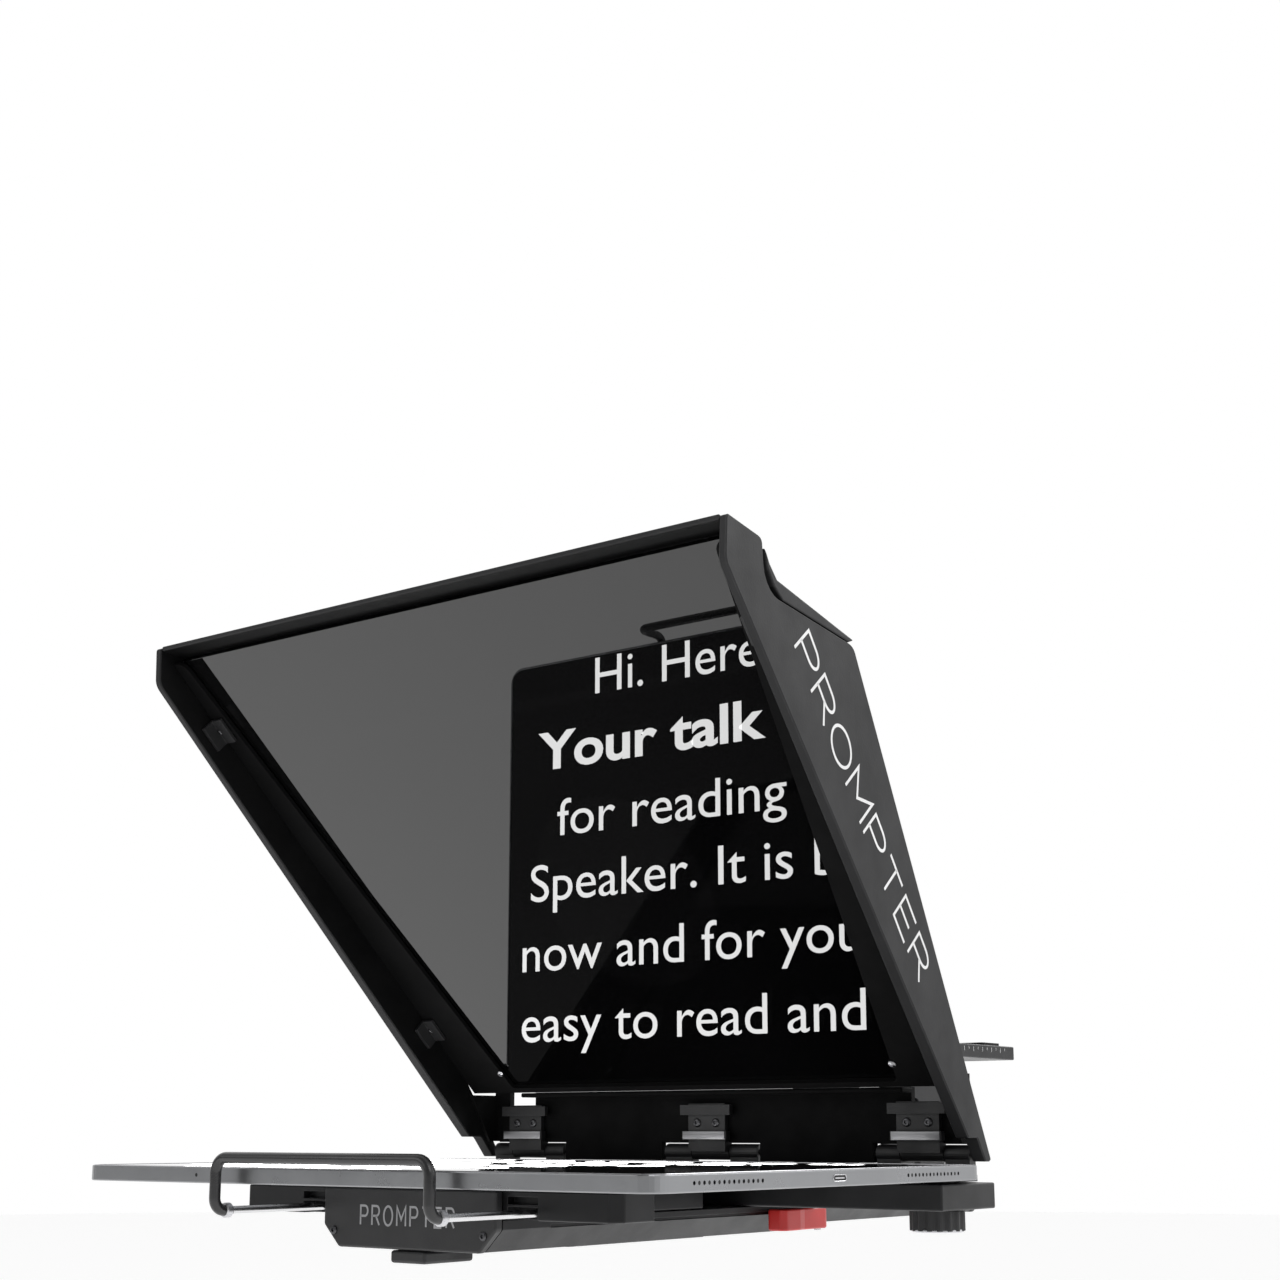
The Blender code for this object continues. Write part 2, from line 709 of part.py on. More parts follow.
def make_top_cover():
    outline = [
        (54.6, 211.0),
        (58.0, 206.0),
        (63.0, 201.4),
        (117.4, 191.3),
        (113.5, 189.8),
        (67.0, 194.7),
        (61.0, 198.6),
        (56.2, 204.6),
    ]
    form = side_view(outline, mirrored(panel_outer, -1.0, 0.6), mirrored(panel_outer, 1.0, 0.6))
    soften(place("hood_top_cover", form, HOOD_SHEET, (0.0, HINGE_Y, HINGE_Z)), 0.6, 2)


def mirror_point(x, along, ahead):
    """A point of the mirror's own frame: along runs up the slope, ahead towards the talent."""
    middle = MIRROR_K / 2.0
    return (x, middle - (along + ahead) / ROOT2, middle + (along - ahead) / ROOT2)


def mirror_slab(outline, back, front):
    return prism(
        [mirror_point(x, along, back) for x, along in outline],
        [mirror_point(x, along, front) for x, along in outline],
    )


def opening_half(along):
    """Half the width of the frame's opening, which narrows down the slope."""
    height = MIRROR_K / 2.0 + along / ROOT2
    return 105.6 + 0.201 * (height - 43.8)


def frame_half(along):
    _, y, z = mirror_point(0.0, along, FRAME_THICK)
    return panel_inner(y, z) - GAP - 0.1


def make_mirror():
    glass_reach = 4.0
    outline = [
        (side * (opening_half(along) + glass_reach), along)
        for side, along in ((-1, MIRROR_BOTTOM), (1, MIRROR_BOTTOM), (1, MIRROR_TOP), (-1, MIRROR_TOP))
    ]
    place("mirror_glass", mirror_slab(outline, -MIRROR_THICK, 0.0), MIRROR, (0.0, HINGE_Y, HINGE_Z))
    top, shelf = MIRROR_TOP + 0.5, FRAME_BOTTOM + 3.0
    corners = [
        (-frame_half(FRAME_BOTTOM), FRAME_BOTTOM, 0.0),
        (frame_half(FRAME_BOTTOM), FRAME_BOTTOM, 0.0),
        (frame_half(top), top, 0.0),
        (opening_half(top), top, 5.0),
        (opening_half(shelf), shelf, 2.0),
        (-opening_half(shelf), shelf, 2.0),
        (-opening_half(top), top, 5.0),
        (-frame_half(top), top, 0.0),
    ]
    outline = rounded(corners)
    place("mirror_frame", mirror_slab(outline, GAP, GAP + FRAME_THICK), HOOD_INSIDE, (0.0, HINGE_Y, HINGE_Z))
    for level, along in (("upper", 88.0), ("lower", -88.0)):
        for name, side in both_sides():
            make_panel_bracket(f"panel_bracket_{name}_{level}", side, along)


def make_panel_bracket(name, side, along):
    """An angle that joins a side panel to the mirror frame."""
    ahead = 2.0 * GAP + FRAME_THICK
    section = [(0.0, 0.0), (7.0, 0.0), (7.0, 1.4), (1.6, 1.4), (1.6, 7.0), (0.0, 7.0)]
    ends = []
    for slope in (along - 6.0, along + 6.0):
        ring = []
        for inwards, forwards in section:
            _, y, z = mirror_point(0.0, slope, ahead + forwards)
            ring.append((side * (panel_inner(y, z) - GAP - 0.1 - inwards), y, z))
        ends.append(ring)
    place(name, prism(ends[0], ends[1]), BLACK_PLASTIC, (0.0, HINGE_Y, HINGE_Z))


def make_sill():
    outline = [(217.2, 28.6), (226.4, 28.6), (226.4, 30.6), (217.2, 30.6)]
    hinge_line = (0.0, HINGE_Y, HINGE_Z)
    sill = place("mirror_sill", side_view(outline, -103.0, 103.0), BLACK_PLASTIC, hinge_line)
    soften(sill, 0.4, 1)
    corners = [(127.6, 0.0), (127.6, 33.0), (118.0, 33.0), (118.0, 22.5), (102.0, 22.5), (102.0, 31.0)]
    wall = [*corners, *((-x, z) for x, z in reversed(corners))]
    panel = place("lower_panel", front_view(wall, 226.8, 229.8), BLACK_PLASTIC, hinge_line)
    for middle, half in HINGES.values():
        for reach, top in ((half + 1.5, 8.2), (LEAF_HALF + 0.5, 9.4)):
            cut(panel, box((middle - reach, 225.0, -1.0), (middle + reach, 231.0, top)))
    gusset = [(221.5, 8.2), (229.6, 8.2), (229.6, 29.8), (208.5, 29.8)]
    for _, side in both_sides():
        low, high = sorted((side * 126.0, side * 127.5))
        unite(panel, side_view(gusset, low, high))


def rear_point(x, z, depth):
    """A point behind the rear edge of the side panels; depth is measured into the hood."""
    length = math.hypot(1.0, REAR_SLOPE)
    y = SHOULDER[0] + REAR_SLOPE * (SHOULDER[1] - z)
    return (x, y - depth / length, z - depth * REAR_SLOPE / length)


def cover_bend(clearance, depth):
    """Where the cover turns from following the glass to following the side panels' rear edge."""
    along_glass = MIRROR_K + (MIRROR_THICK + clearance) * ROOT2
    along_edge = SHOULDER[0] + REAR_SLOPE * SHOULDER[1] - depth * math.hypot(1.0, REAR_SLOPE)
    height = (along_glass - along_edge) / (1.0 - REAR_SLOPE)
    return (along_glass - height, height)


def make_rear_cover():
    """A sheet bent once: it backs the foot of the glass, then closes the hood's rear edge."""
    foot, head = 33.0, 187.0
    front, back, deep, shallow = 0.5, 2.5, 3.0, 1.0
    inner_foot = (MIRROR_K + (MIRROR_THICK + front) * ROOT2 - foot, foot)
    outer_foot = (MIRROR_K + (MIRROR_THICK + back) * ROOT2 - foot, foot)
    inner_head = rear_point(0.0, head, deep)[1:]
    outer_head = rear_point(0.0, head, shallow)[1:]
    inner, outer = cover_bend(front, deep), cover_bend(back, shallow)
    outline = [inner_foot, inner, inner_head, outer_head, outer, outer_foot]
    inset = GAP + 0.1
    form = side_view(outline, mirrored(panel_inner, -1.0, inset), mirrored(panel_inner, 1.0, inset))
    cover = place("hood_rear_cover", form, HOOD_INSIDE, (0.0, HINGE_Y, HINGE_Z))
    cut(cover, rod(rear_point(0.0, LENS_Z, 8.0), rear_point(0.0, LENS_Z, -6.0), LENS_OPENING, 48))
    seal = place(
        "lens_seal",
        rod(rear_point(0.0, LENS_Z, 0.7), rear_point(0.0, LENS_Z, -3.4), LENS_OPENING + 5.0, 48),
        RUBBER,
        (0.0, HINGE_Y, HINGE_Z),
    )
    cut(seal, rod(rear_point(0.0, LENS_Z, 8.0), rear_point(0.0, LENS_Z, -8.0), LENS_OPENING - 4.0, 48))


# Tablet


def tablet_outline(inset):
    half_length = TABLET_LENGTH / 2.0 - inset
    half_width = TABLET_WIDTH / 2.0 - inset
    return rectangle(half_length, half_width, TABLET_CORNER - inset, (0.0, TABLET_WIDTH / 2.0), 7)


def make_tablet():
    body = place("tablet_body", plan(tablet_outline(0.0), -TABLET_THICK, 0.0), SILVER)
    soften(body, 0.5, 2)
    cut(body, plan(tablet_outline(TABLET_RIM), -0.9, 1.0))
    glass = plan(tablet_outline(TABLET_RIM + GAP), -0.6, 0.0)
    place("tablet_glass", glass, SCREEN)
    middle_y, middle_z = TABLET_WIDTH / 2.0, -TABLET_THICK / 2.0
    half = TABLET_LENGTH / 2.0
    port = rectangle(4.4, 1.3, 1.2, (middle_y, middle_z), 4)
    cut(body, side_view(port, half - 6.0, half + 2.0))
    holes = bmesh.new()
    for side in (-1.0, 1.0):
        for along in (-1.0, 1.0):
            for index in range(SPEAKER_HOLES):
                reach = SPEAKER_NEAR + (SPEAKER_FAR - SPEAKER_NEAR) * index / (SPEAKER_HOLES - 1)
                y = middle_y + along * reach
                near, far = side * (half - 2.0), side * (half + 1.0)
                join_form(holes, rod((near, y, middle_z), (far, y, middle_z), 0.75, 6))
    cut(body, holes)
    make_tablet_buttons(body, middle_z)


def make_tablet_buttons(body, middle_z):
    half = TABLET_LENGTH / 2.0
    power = rectangle(5.5, 1.2, 1.1, (188.0, middle_z), 4)
    pocket = rectangle(5.8, 1.5, 1.4, (188.0, middle_z), 4)
    cut(body, side_view(pocket, -half - 1.0, -half + 1.6))
    place("power_button", side_view(power, -half - 0.5, -half + 0.9), SILVER, (-half, 188.0, middle_z))
    for name, x in (("volume_up_button", -121.0), ("volume_down_button", -106.0)):
        key = rectangle(5.0, 1.2, 1.1, (x, middle_z), 4)
        pocket = rectangle(5.3, 1.5, 1.4, (x, middle_z), 4)
        cut(body, front_view(pocket, TABLET_WIDTH - 1.6, TABLET_WIDTH + 1.0))
        cap = front_view(key, TABLET_WIDTH - 0.9, TABLET_WIDTH + 0.5)
        place(name, cap, SILVER, (x, TABLET_WIDTH, middle_z))


make_sled_rail()
make_sled_caps()
make_front_foot()
make_tripod_plate()
make_front_arm()
make_spine()
make_crossbar()
make_pads()
make_rear_stops()
make_hinges()
make_bracket()
make_release_lever()
make_clamp_knobs()
make_riser()
make_cradle()
make_camera_plate()
make_cradle_knob()
make_side_panels()
make_roof()
make_top_cover()
make_mirror()
make_sill()
make_rear_cover()
make_tablet()
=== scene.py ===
"""Looks of the tablet teleprompter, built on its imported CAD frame. Lengths are in metres,
in the row frame: +X to the talent's right, +Y towards the camera operator, +Z up."""

import json
import math

import bmesh
import bpy
from mathutils import Matrix, Vector
from mathutils.bvhtree import BVHTree

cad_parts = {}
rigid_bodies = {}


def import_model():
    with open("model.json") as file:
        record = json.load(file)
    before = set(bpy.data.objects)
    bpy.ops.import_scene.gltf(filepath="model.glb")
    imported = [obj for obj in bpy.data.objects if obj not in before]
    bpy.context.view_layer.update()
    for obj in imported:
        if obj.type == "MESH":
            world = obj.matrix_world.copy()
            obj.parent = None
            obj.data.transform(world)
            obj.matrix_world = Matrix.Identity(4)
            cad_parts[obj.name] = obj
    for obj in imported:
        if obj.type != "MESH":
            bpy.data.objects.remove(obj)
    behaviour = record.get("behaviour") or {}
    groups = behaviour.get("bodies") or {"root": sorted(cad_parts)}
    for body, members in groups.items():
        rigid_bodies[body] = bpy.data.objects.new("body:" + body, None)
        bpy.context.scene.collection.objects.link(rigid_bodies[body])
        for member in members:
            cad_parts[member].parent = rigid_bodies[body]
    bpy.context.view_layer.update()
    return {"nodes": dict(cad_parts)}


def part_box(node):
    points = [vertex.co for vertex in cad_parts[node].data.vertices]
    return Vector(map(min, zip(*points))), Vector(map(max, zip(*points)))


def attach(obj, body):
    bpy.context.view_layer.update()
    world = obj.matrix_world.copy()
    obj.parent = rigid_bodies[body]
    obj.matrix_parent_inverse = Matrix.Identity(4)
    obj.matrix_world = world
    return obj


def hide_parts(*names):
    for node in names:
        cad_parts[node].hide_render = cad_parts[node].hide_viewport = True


for startup in list(bpy.data.objects):
    bpy.data.objects.remove(startup, do_unlink=True)
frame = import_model()
NODES = frame["nodes"]
MM = 0.001
TURN = 2.0 * math.pi
SIDES = (("left", -1.0), ("right", 1.0))
HINGES = (("left", -0.106), ("centre", 0.0), ("right", 0.106))  # each one's middle in X
INTO_GLASS = Vector((0.0, 1.0, 1.0)).normalized()  # square to the slanted glass
PRINT_LIFT = 0.00008  # how far print stands off its surface
RAY_START = 0.02  # how far outside a part a ray that looks for its face begins


# Procedural finishes


# How far from an edge its lightening reaches; the lightening is partly worn edges, partly painted
# highlight.
EDGE_WEAR_AND_HIGHLIGHT_WIDTH = 0.0005


class Surface:
    """A Principled material with a few procedural inputs, all in the piece's own coordinates."""

    def __init__(self, name, metallic=0.0, **constants):
        self.material = bpy.data.materials.new(name)
        self.material.use_nodes = True
        self.tree = self.material.node_tree
        self.shader = self.tree.nodes["Principled BSDF"]
        self.shader.inputs["Metallic"].default_value = metallic
        for socket, value in constants.items():
            self.shader.inputs[socket.replace("_", " ")].default_value = value
        self.place = self.node("ShaderNodeTexCoord").outputs["Object"]

    def node(self, kind, **settings):
        made = self.tree.nodes.new(kind)
        for key, value in settings.items():
            setattr(made, key, value)
        return made

    def link(self, source, target):
        self.tree.links.new(source, target)

    def noise(self, scale, detail=2.0, stretch=(1.0, 1.0, 1.0)):
        mapping = self.node("ShaderNodeMapping")
        mapping.inputs["Scale"].default_value = stretch
        self.link(self.place, mapping.inputs["Vector"])
        noise = self.node("ShaderNodeTexNoise")
        noise.inputs["Scale"].default_value = scale
        noise.inputs["Detail"].default_value = detail
        self.link(mapping.outputs["Vector"], noise.inputs["Vector"])
        return noise.outputs["Fac"]

    def ranged(self, source, low, high, start=0.3, end=0.7):
        """The source's span from start to end, stretched to the span from low to high."""
        ranged = self.node("ShaderNodeMapRange")
        spans = {"From Min": start, "From Max": end, "To Min": low, "To Max": high}
        for socket, value in spans.items():
            ranged.inputs[socket].default_value = value
        self.link(source, ranged.inputs["Value"])
        return ranged.outputs["Result"]

    def mixed(self, factor, first, second):
        mix = self.node("ShaderNodeMix", data_type="RGBA")
        self.link(factor, mix.inputs["Factor"])
        for socket, value in (("A", first), ("B", second)):
            target = next(i for i in mix.inputs if i.name == socket and i.type == "RGBA")
            if isinstance(value, tuple):
                target.default_value = (*value, 1.0)
            else:
                self.link(value, target)
        return next(o for o in mix.outputs if o.type == "RGBA")

    def tone(self, source):
        self.link(source, self.shader.inputs["Base Color"])

    def rough(self, source):
        self.link(source, self.shader.inputs["Roughness"])

    def bump(self, heights, distance, strength=1.0):
        """Each height map adds to the relief."""
        previous = None
        for height in heights:
            bump = self.node("ShaderNodeBump")
            bump.inputs["Distance"].default_value = distance
            bump.inputs["Strength"].default_value = strength
            self.link(height, bump.inputs["Height"])
            if previous is not None:
                self.link(previous, bump.inputs["Normal"])
            previous = bump.outputs["Normal"]
        self.link(previous, self.shader.inputs["Normal"])

    def edges(self):
        """1 along sharp edges, 0 on flat faces."""
        rounded = self.node("ShaderNodeBevel", samples=4)
        rounded.inputs["Radius"].default_value = EDGE_WEAR_AND_HIGHLIGHT_WIDTH
        flat = self.node("ShaderNodeNewGeometry")
        dot = self.node("ShaderNodeVectorMath", operation="DOT_PRODUCT")
        self.link(rounded.outputs["Normal"], dot.inputs[0])
        self.link(flat.outputs["Normal"], dot.inputs[1])
        return self.ranged(dot.outputs["Value"], 1.0, 0.0, 0.75, 0.995)

    def multiplied(self, first, second):
        product = self.node("ShaderNodeMath", operation="MULTIPLY")
        self.link(first, product.inputs[0])
        self.link(second, product.inputs[1])
        return product.outputs["Value"]


def scaled(colour, factor):
    return tuple(c * factor for c in colour)


def moulded(name, colour, roughness, spread=0.08, grain=2600.0, relief=0.00003, variation=0.18,
            metallic=0.0, wear_and_highlight=0.0, **constants):
    """Plastic, paint or blasted metal: patchy tone, uneven gloss, a fine grain, and lighter edges,
    partly worn and partly a painted highlight.
    """
    surface = Surface(name, metallic, **constants)
    patches = surface.noise(38.0, 4.0)
    dark, light = scaled(colour, 1.0 - variation), scaled(colour, 1.0 + variation)
    tone = surface.mixed(surface.ranged(patches, 0.0, 1.0), dark, light)
    # Patchy lighter edges: partly worn by rubbing, partly a painted highlight along the edges.
    if wear_and_highlight:
        edges = surface.edges()
        scuff_and_highlight_patches = surface.ranged(surface.noise(160.0, 5.0), 0.15, 1.0, 0.4, 0.65)
        edge_wear_and_highlight = surface.multiplied(edges, scuff_and_highlight_patches)
        tone = surface.mixed(edge_wear_and_highlight, tone, tuple(c + wear_and_highlight for c in colour))
    surface.tone(tone)
    surface.rough(surface.ranged(surface.noise(70.0, 6.0), roughness - spread, roughness + spread))
    surface.bump([surface.noise(grain, 2.0), surface.noise(grain * 0.14, 3.0)], relief)
    return surface.material


def brushed(name, colour, roughness, stretch, metallic=1.0, **constants):
    """Turned or drawn metal with fine lines along one direction."""
    surface = Surface(name, metallic, **constants)
    lines = surface.noise(1.0, 3.0, stretch)
    dark, light = scaled(colour, 0.86), scaled(colour, 1.06)
    surface.tone(surface.mixed(surface.ranged(lines, 0.0, 1.0), dark, light))
    surface.rough(surface.ranged(surface.noise(90.0, 5.0), roughness - 0.06, roughness + 0.08))
    surface.bump([lines], 0.00001, 0.5)
    return surface.material


def hood_sheet():
    """Powder-coated sheet, dark grey outside and dead black where a panel faces the screen."""
    dead_black, rubbed_and_highlight_grey = (0.0025, 0.0025, 0.0027), (0.10, 0.10, 0.102)
    dark_grey, grey = (0.019, 0.019, 0.020), (0.027, 0.027, 0.028)
    surface = Surface("hood_sheet", 0.0, Specular_IOR_Level=0.22)
    geometry = surface.node("ShaderNodeNewGeometry")
    facing = surface.node("ShaderNodeSeparateXYZ")
    where = surface.node("ShaderNodeSeparateXYZ")
    surface.link(geometry.outputs["Normal"], facing.inputs[0])
    surface.link(geometry.outputs["Position"], where.inputs[0])
    which_side = surface.ranged(where.outputs["X"], -1.0, 1.0, -0.1, 0.1)
    outward = surface.multiplied(facing.outputs["X"], which_side)
    sideways = surface.ranged(outward, 1.0, 0.0, -0.85, -0.6)
    beneath = surface.ranged(facing.outputs["Z"], 1.0, 0.0, -0.9, -0.7)
    inside = surface.node("ShaderNodeMath", operation="MAXIMUM")
    surface.link(sideways, inside.inputs[0])
    surface.link(beneath, inside.inputs[1])
    inside = inside.outputs["Value"]
    patches = surface.ranged(surface.noise(24.0, 5.0), 0.0, 1.0)
    outside_tone = surface.mixed(patches, dark_grey, grey)
    # Grey in patches along the edges: partly worn by rubbing, partly a painted highlight.
    edges = surface.edges()
    scuff_and_highlight_patches = surface.ranged(surface.noise(120.0, 5.0), 0.2, 1.0, 0.4, 0.65)
    worn_and_highlit_tone = surface.mixed(surface.multiplied(edges, scuff_and_highlight_patches), outside_tone, rubbed_and_highlight_grey)
    surface.tone(surface.mixed(inside, worn_and_highlit_tone, dead_black))
    surface.rough(surface.ranged(surface.noise(55.0, 5.0), 0.46, 0.62))
    surface.bump([surface.noise(1500.0, 2.0), surface.noise(260.0, 3.0)], 0.00004)
    return surface.material


def tablet_glass():
    """Glossy black glass with faint finger smears."""
    surface = Surface("tablet_screen_glass", 0.0, IOR=1.52, Coat_Weight=0.4, Coat_Roughness=0.02)
    smears = surface.noise(26.0, 6.0, (1.0, 2.4, 1.0))
    clean, smeared = (0.004, 0.004, 0.005), (0.007, 0.007, 0.008)
    surface.tone(surface.mixed(surface.ranged(smears, 0.0, 1.0), clean, smeared))
    surface.rough(surface.ranged(smears, 0.02, 0.09, 0.45, 0.75))
    return surface.material


def beam_splitter():
    """Half-silvered glass with the hood's black behind it."""
    surface = Surface("beam_splitter_glass", 0.0, IOR=1.76, Alpha=0.97)
    haze = surface.noise(9.0, 5.0)
    clear, hazy = (0.0012, 0.0012, 0.0013), (0.0024, 0.0024, 0.0026)
    surface.tone(surface.mixed(surface.ranged(haze, 0.0, 1.0), clear, hazy))
    surface.rough(surface.ranged(haze, 0.0, 0.012, 0.5, 0.8))
    return surface.material


def glowing(name, colour, strength):
    surface = Surface(name, 0.0, Emission_Strength=strength, Roughness=0.5)
    surface.shader.inputs["Base Color"].default_value = (*scaled(colour, 0.5), 1.0)
    surface.shader.inputs["Emission Color"].default_value = (*colour, 1.0)
    return surface.material


# How finely a brushed finish varies along each axis: long lines run where the number is low.
LINES_Y = (2600.0, 40.0, 2600.0)
LINES_X = (40.0, 2600.0, 2600.0)
FINISHES = {
    # For black_anodised, black_plastic and red_plastic the last positional number lightens the
    # edges: partly worn, partly painted highlight.
    "black_anodised": moulded("black_anodised", (0.016, 0.016, 0.017), 0.38, 0.07, 3200.0, 0.00002,
                              0.2, 0.3, 0.08, Specular_IOR_Level=0.35),
    "hood_sheet": hood_sheet(),
    "hood_inside_black": moulded("hood_inside_black", (0.0028, 0.0028, 0.003), 0.74, 0.08, 1800.0,
                                 0.00004, 0.25, Specular_IOR_Level=0.12),
    "black_plastic": moulded("black_plastic", (0.016, 0.016, 0.017), 0.48, 0.1, 2100.0, 0.00004,
                             0.22, 0.0, 0.035),
    "coated_wire": moulded("coated_wire", (0.013, 0.013, 0.014), 0.30, 0.08, 1500.0, 0.00003, 0.25,
                           Coat_Weight=0.25, Coat_Roughness=0.2),
    "bright_steel": brushed("bright_steel", (0.70, 0.70, 0.71), 0.20, LINES_Y),
    "rubber": moulded("rubber", (0.014, 0.014, 0.014), 0.80, 0.08, 1300.0, 0.00008, 0.3),
    "red_plastic": moulded("red_plastic", (0.50, 0.018, 0.016), 0.36, 0.08, 1700.0, 0.00004, 0.14,
                           0.0, 0.12, Coat_Weight=0.15, Coat_Roughness=0.25),
    "tablet_aluminium": moulded("tablet_aluminium", (0.30, 0.305, 0.315), 0.30, 0.05, 5200.0,
                                0.000012, 0.05, 1.0),
    "tablet_screen_glass": tablet_glass(),
    "beam_splitter_glass": beam_splitter(),
}
PRINT = moulded("printed_white", (0.78, 0.78, 0.78), 0.55, 0.08, 900.0, 0.00002, 0.06)
PRINT_DIM = moulded("printed_grey", (0.36, 0.36, 0.37), 0.5, 0.08, 900.0, 0.00002, 0.1)
BLACKENED = brushed("blackened_steel", (0.10, 0.10, 0.105), 0.30, LINES_X)
SATIN_STEEL = brushed("satin_steel", (0.30, 0.30, 0.31), 0.34, LINES_X)
TURNED = brushed("turned_steel", (0.62, 0.62, 0.64), 0.26, LINES_X)
# Flat near-black for the insides of the port and the small holes: painted shade.
PAINTED_HOLE_SHADE = moulded("painted_recess_shade", (0.004, 0.004, 0.004), 0.7, 0.05, 900.0, 0.00002, 0.3)
SCRIPT = glowing("lit_script", (1.0, 1.0, 1.0), 8.0)


# The CAD nodes that stay: their finish and softened edges


# The lower panel and the mirror sill, black plastic in the CAD like the hinges, take the near-black
# finish of the hood's inside: painted shade.
PAINTED_SHADE_FINISHES = {"lower_panel": "hood_inside_black", "mirror_sill": "hood_inside_black"}
# Bevel widths in millimetres. Zero leaves a node's edges as the CAD made them.
USUAL_EDGE = 0.22
EDGE_WIDTHS = {
    "side_panel_left": 0.35, "side_panel_right": 0.35, "hood_roof": 0.3, "hood_top_cover": 0.3,
    "sled_rail": 0.5, "rear_crossbar": 0.35, "camera_riser": 0.5, "camera_cradle": 0.4,
    "camera_plate": 0.4, "mirror_glass": 0.15, "tablet_body": 0.0, "tablet_glass": 0.0,
}


def soften_edges(node, width):
    weld = node.modifiers.new("weld", "WELD")
    weld.merge_threshold = 0.000002
    if width > 0.0:
        bevel = node.modifiers.new("edge", "BEVEL")
        bevel.limit_method = "ANGLE"
        bevel.angle_limit = math.radians(28.0)
        bevel.width = width * MM
        bevel.segments = 2
    normals = node.modifiers.new("normals", "WEIGHTED_NORMAL")
    normals.weight = 80
    normals.keep_sharp = True


def dress_nodes():
    for name, node in NODES.items():
        for slot in node.material_slots:
            cad_finish = slot.material.name.split(".")[0]
            slot.material = FINISHES[PAINTED_SHADE_FINISHES.get(name, cad_finish)]
        soften_edges(node, EDGE_WIDTHS.get(name, USUAL_EDGE))


# Mesh helpers


def piece(name, form, finish, body, smooth=True):
    """A new piece from a bmesh in the row frame, riding on a CAD body."""
    mesh = bpy.data.meshes.new(name)
    bmesh.ops.recalc_face_normals(form, faces=form.faces)
    form.to_mesh(mesh)
    form.free()
    mesh.materials.append(finish)
    for face in mesh.polygons:
        face.use_smooth = smooth
    made = bpy.data.objects.new(name, mesh)
    bpy.context.scene.collection.objects.link(made)
    if smooth:
        mesh.set_sharp_from_angle(angle=math.radians(32.0))
    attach(made, body)
    return made


def frame_at(centre, normal, up=(0.0, 0.0, 1.0)):
    """The matrix whose local Z is normal and local Y is as near up as it can be."""
    z = Vector(normal).normalized()
    y = Vector(up) - z * z.dot(Vector(up))
    y.normalize()
    x = y.cross(z)
    return Matrix.Translation(Vector(centre)) @ Matrix((x, y, z)).transposed().to_4x4()


def add_lathe(form, profile, matrix, steps=32):
    """A turned shape about local Z from (radius, height) points, closed at both ends."""
    rings = []
    for radius, height in profile:
        turned = [
            Vector((radius * math.cos(t), radius * math.sin(t), height))
            for t in (TURN * k / steps for k in range(steps))
        ]
        rings.append([form.verts.new(matrix @ point) for point in turned])
    for low, high in zip(rings, rings[1:]):
        for k in range(steps):
            form.faces.new((low[k], low[(k + 1) % steps], high[(k + 1) % steps], high[k]))
    form.faces.new(rings[0][::-1])
    form.faces.new(rings[-1])


def add_tube(form, path, radius, steps=20, closed=False):
    """A round tube along a path of points."""
    points = [Vector(p) for p in path]
    rings = []
    side = None
    for k, point in enumerate(points):
        before = points[k - 1] if k > 0 or closed else point
        after = points[(k + 1) % len(points)] if k + 1 < len(points) or closed else point
        along = (after - before).normalized()
        guess = side if side is not None else along.orthogonal()
        side = (guess - along * along.dot(guess)).normalized()
        other = along.cross(side)
        rings.append([
            form.verts.new(point + radius * (math.cos(t) * side + math.sin(t) * other))
            for t in (TURN * j / steps for j in range(steps))
        ])
    pairs = list(zip(rings, rings[1:]))
    if closed:
        pairs.append((rings[-1], rings[0]))
    for low, high in pairs:
        for j in range(steps):
            form.faces.new((low[j], low[(j + 1) % steps], high[(j + 1) % steps], high[j]))
    if not closed:
        form.faces.new(rings[0][::-1])
        form.faces.new(rings[-1])


def add_plate(form, low, high, bevel=0.0):
    """A box with chamfered edges."""
    made = bmesh.ops.create_cube(form, size=1.0)["verts"]
    centre = (Vector(low) + Vector(high)) / 2.0
    size = Vector(high) - Vector(low)
    for vert in made:
        vert.co = centre + Vector((vert.co.x * size.x, vert.co.y * size.y, vert.co.z * size.z))
    if bevel:
        edges = list({edge for vert in made for edge in vert.link_edges})
        bmesh.ops.bevel(form, geom=edges, offset=bevel, segments=2, profile=0.6, affect="EDGES")


def bend_points(before, corner, after, radius, steps=10):
    """Points of the round bend that replaces a square corner."""
    a, c, b = Vector(before), Vector(corner), Vector(after)
    u, v = (a - c).normalized(), (b - c).normalized()
    middle = c + radius * (u + v)
    start, end = c + radius * u - middle, c + radius * v - middle
    angles = (0.5 * math.pi * k / steps for k in range(steps + 1))
    return [middle + start * math.cos(t) + end * math.sin(t) for t in angles]


def tree_of(node):
    """A search tree of a CAD node's faces at rest."""
    mesh = NODES[node].data
    return BVHTree.FromPolygons([v.co for v in mesh.vertices], [p.vertices for p in mesh.polygons])


def on_surface(tree, start, direction):
    """Where a ray from start meets the surface, and the normal there, turned to face the ray."""
    hit, normal, _, _ = tree.ray_cast(Vector(start), Vector(direction).normalized())
    if normal.dot(Vector(direction)) > 0.0:
        normal = -normal
    return hit, normal


# Screws


# Radius and height of each kind of screw head.
CLIP_SCREW = (0.0017, 0.0009)
LEAF_SCREW = (0.0019, 0.0008)
BRACKET_SCREW = (0.0013, 0.0006)
CAP_SCREW = (0.0016, 0.0007)
KNOB_SCREW = (0.0030, 0.0006)
# Where they sit. A name with HALF is half the distance between a pair.
CLIP_PLACE = (0.1055, 0.0655, 0.0715)  # the right-hand one, and the left one mirrors it
CLIP_RAY, BRACKET_RAY = 0.05, 0.03  # the rays that look for these two faces start further out
LEAF_SCREW_HALF, LEAF_SCREW_Z = 0.005, 0.0466
BRACKET_SCREW_SHIFT = 0.0018  # outwards from the middle of the bracket
BRACKET_LEVELS = (("upper", 0.2121), ("lower", 0.0876))  # Z
FRONT_CAP_HALF, REAR_CAP_HALF = 0.0375, 0.036
FRONT_CAP_RISE = 0.006  # above the front cap's lowest edge


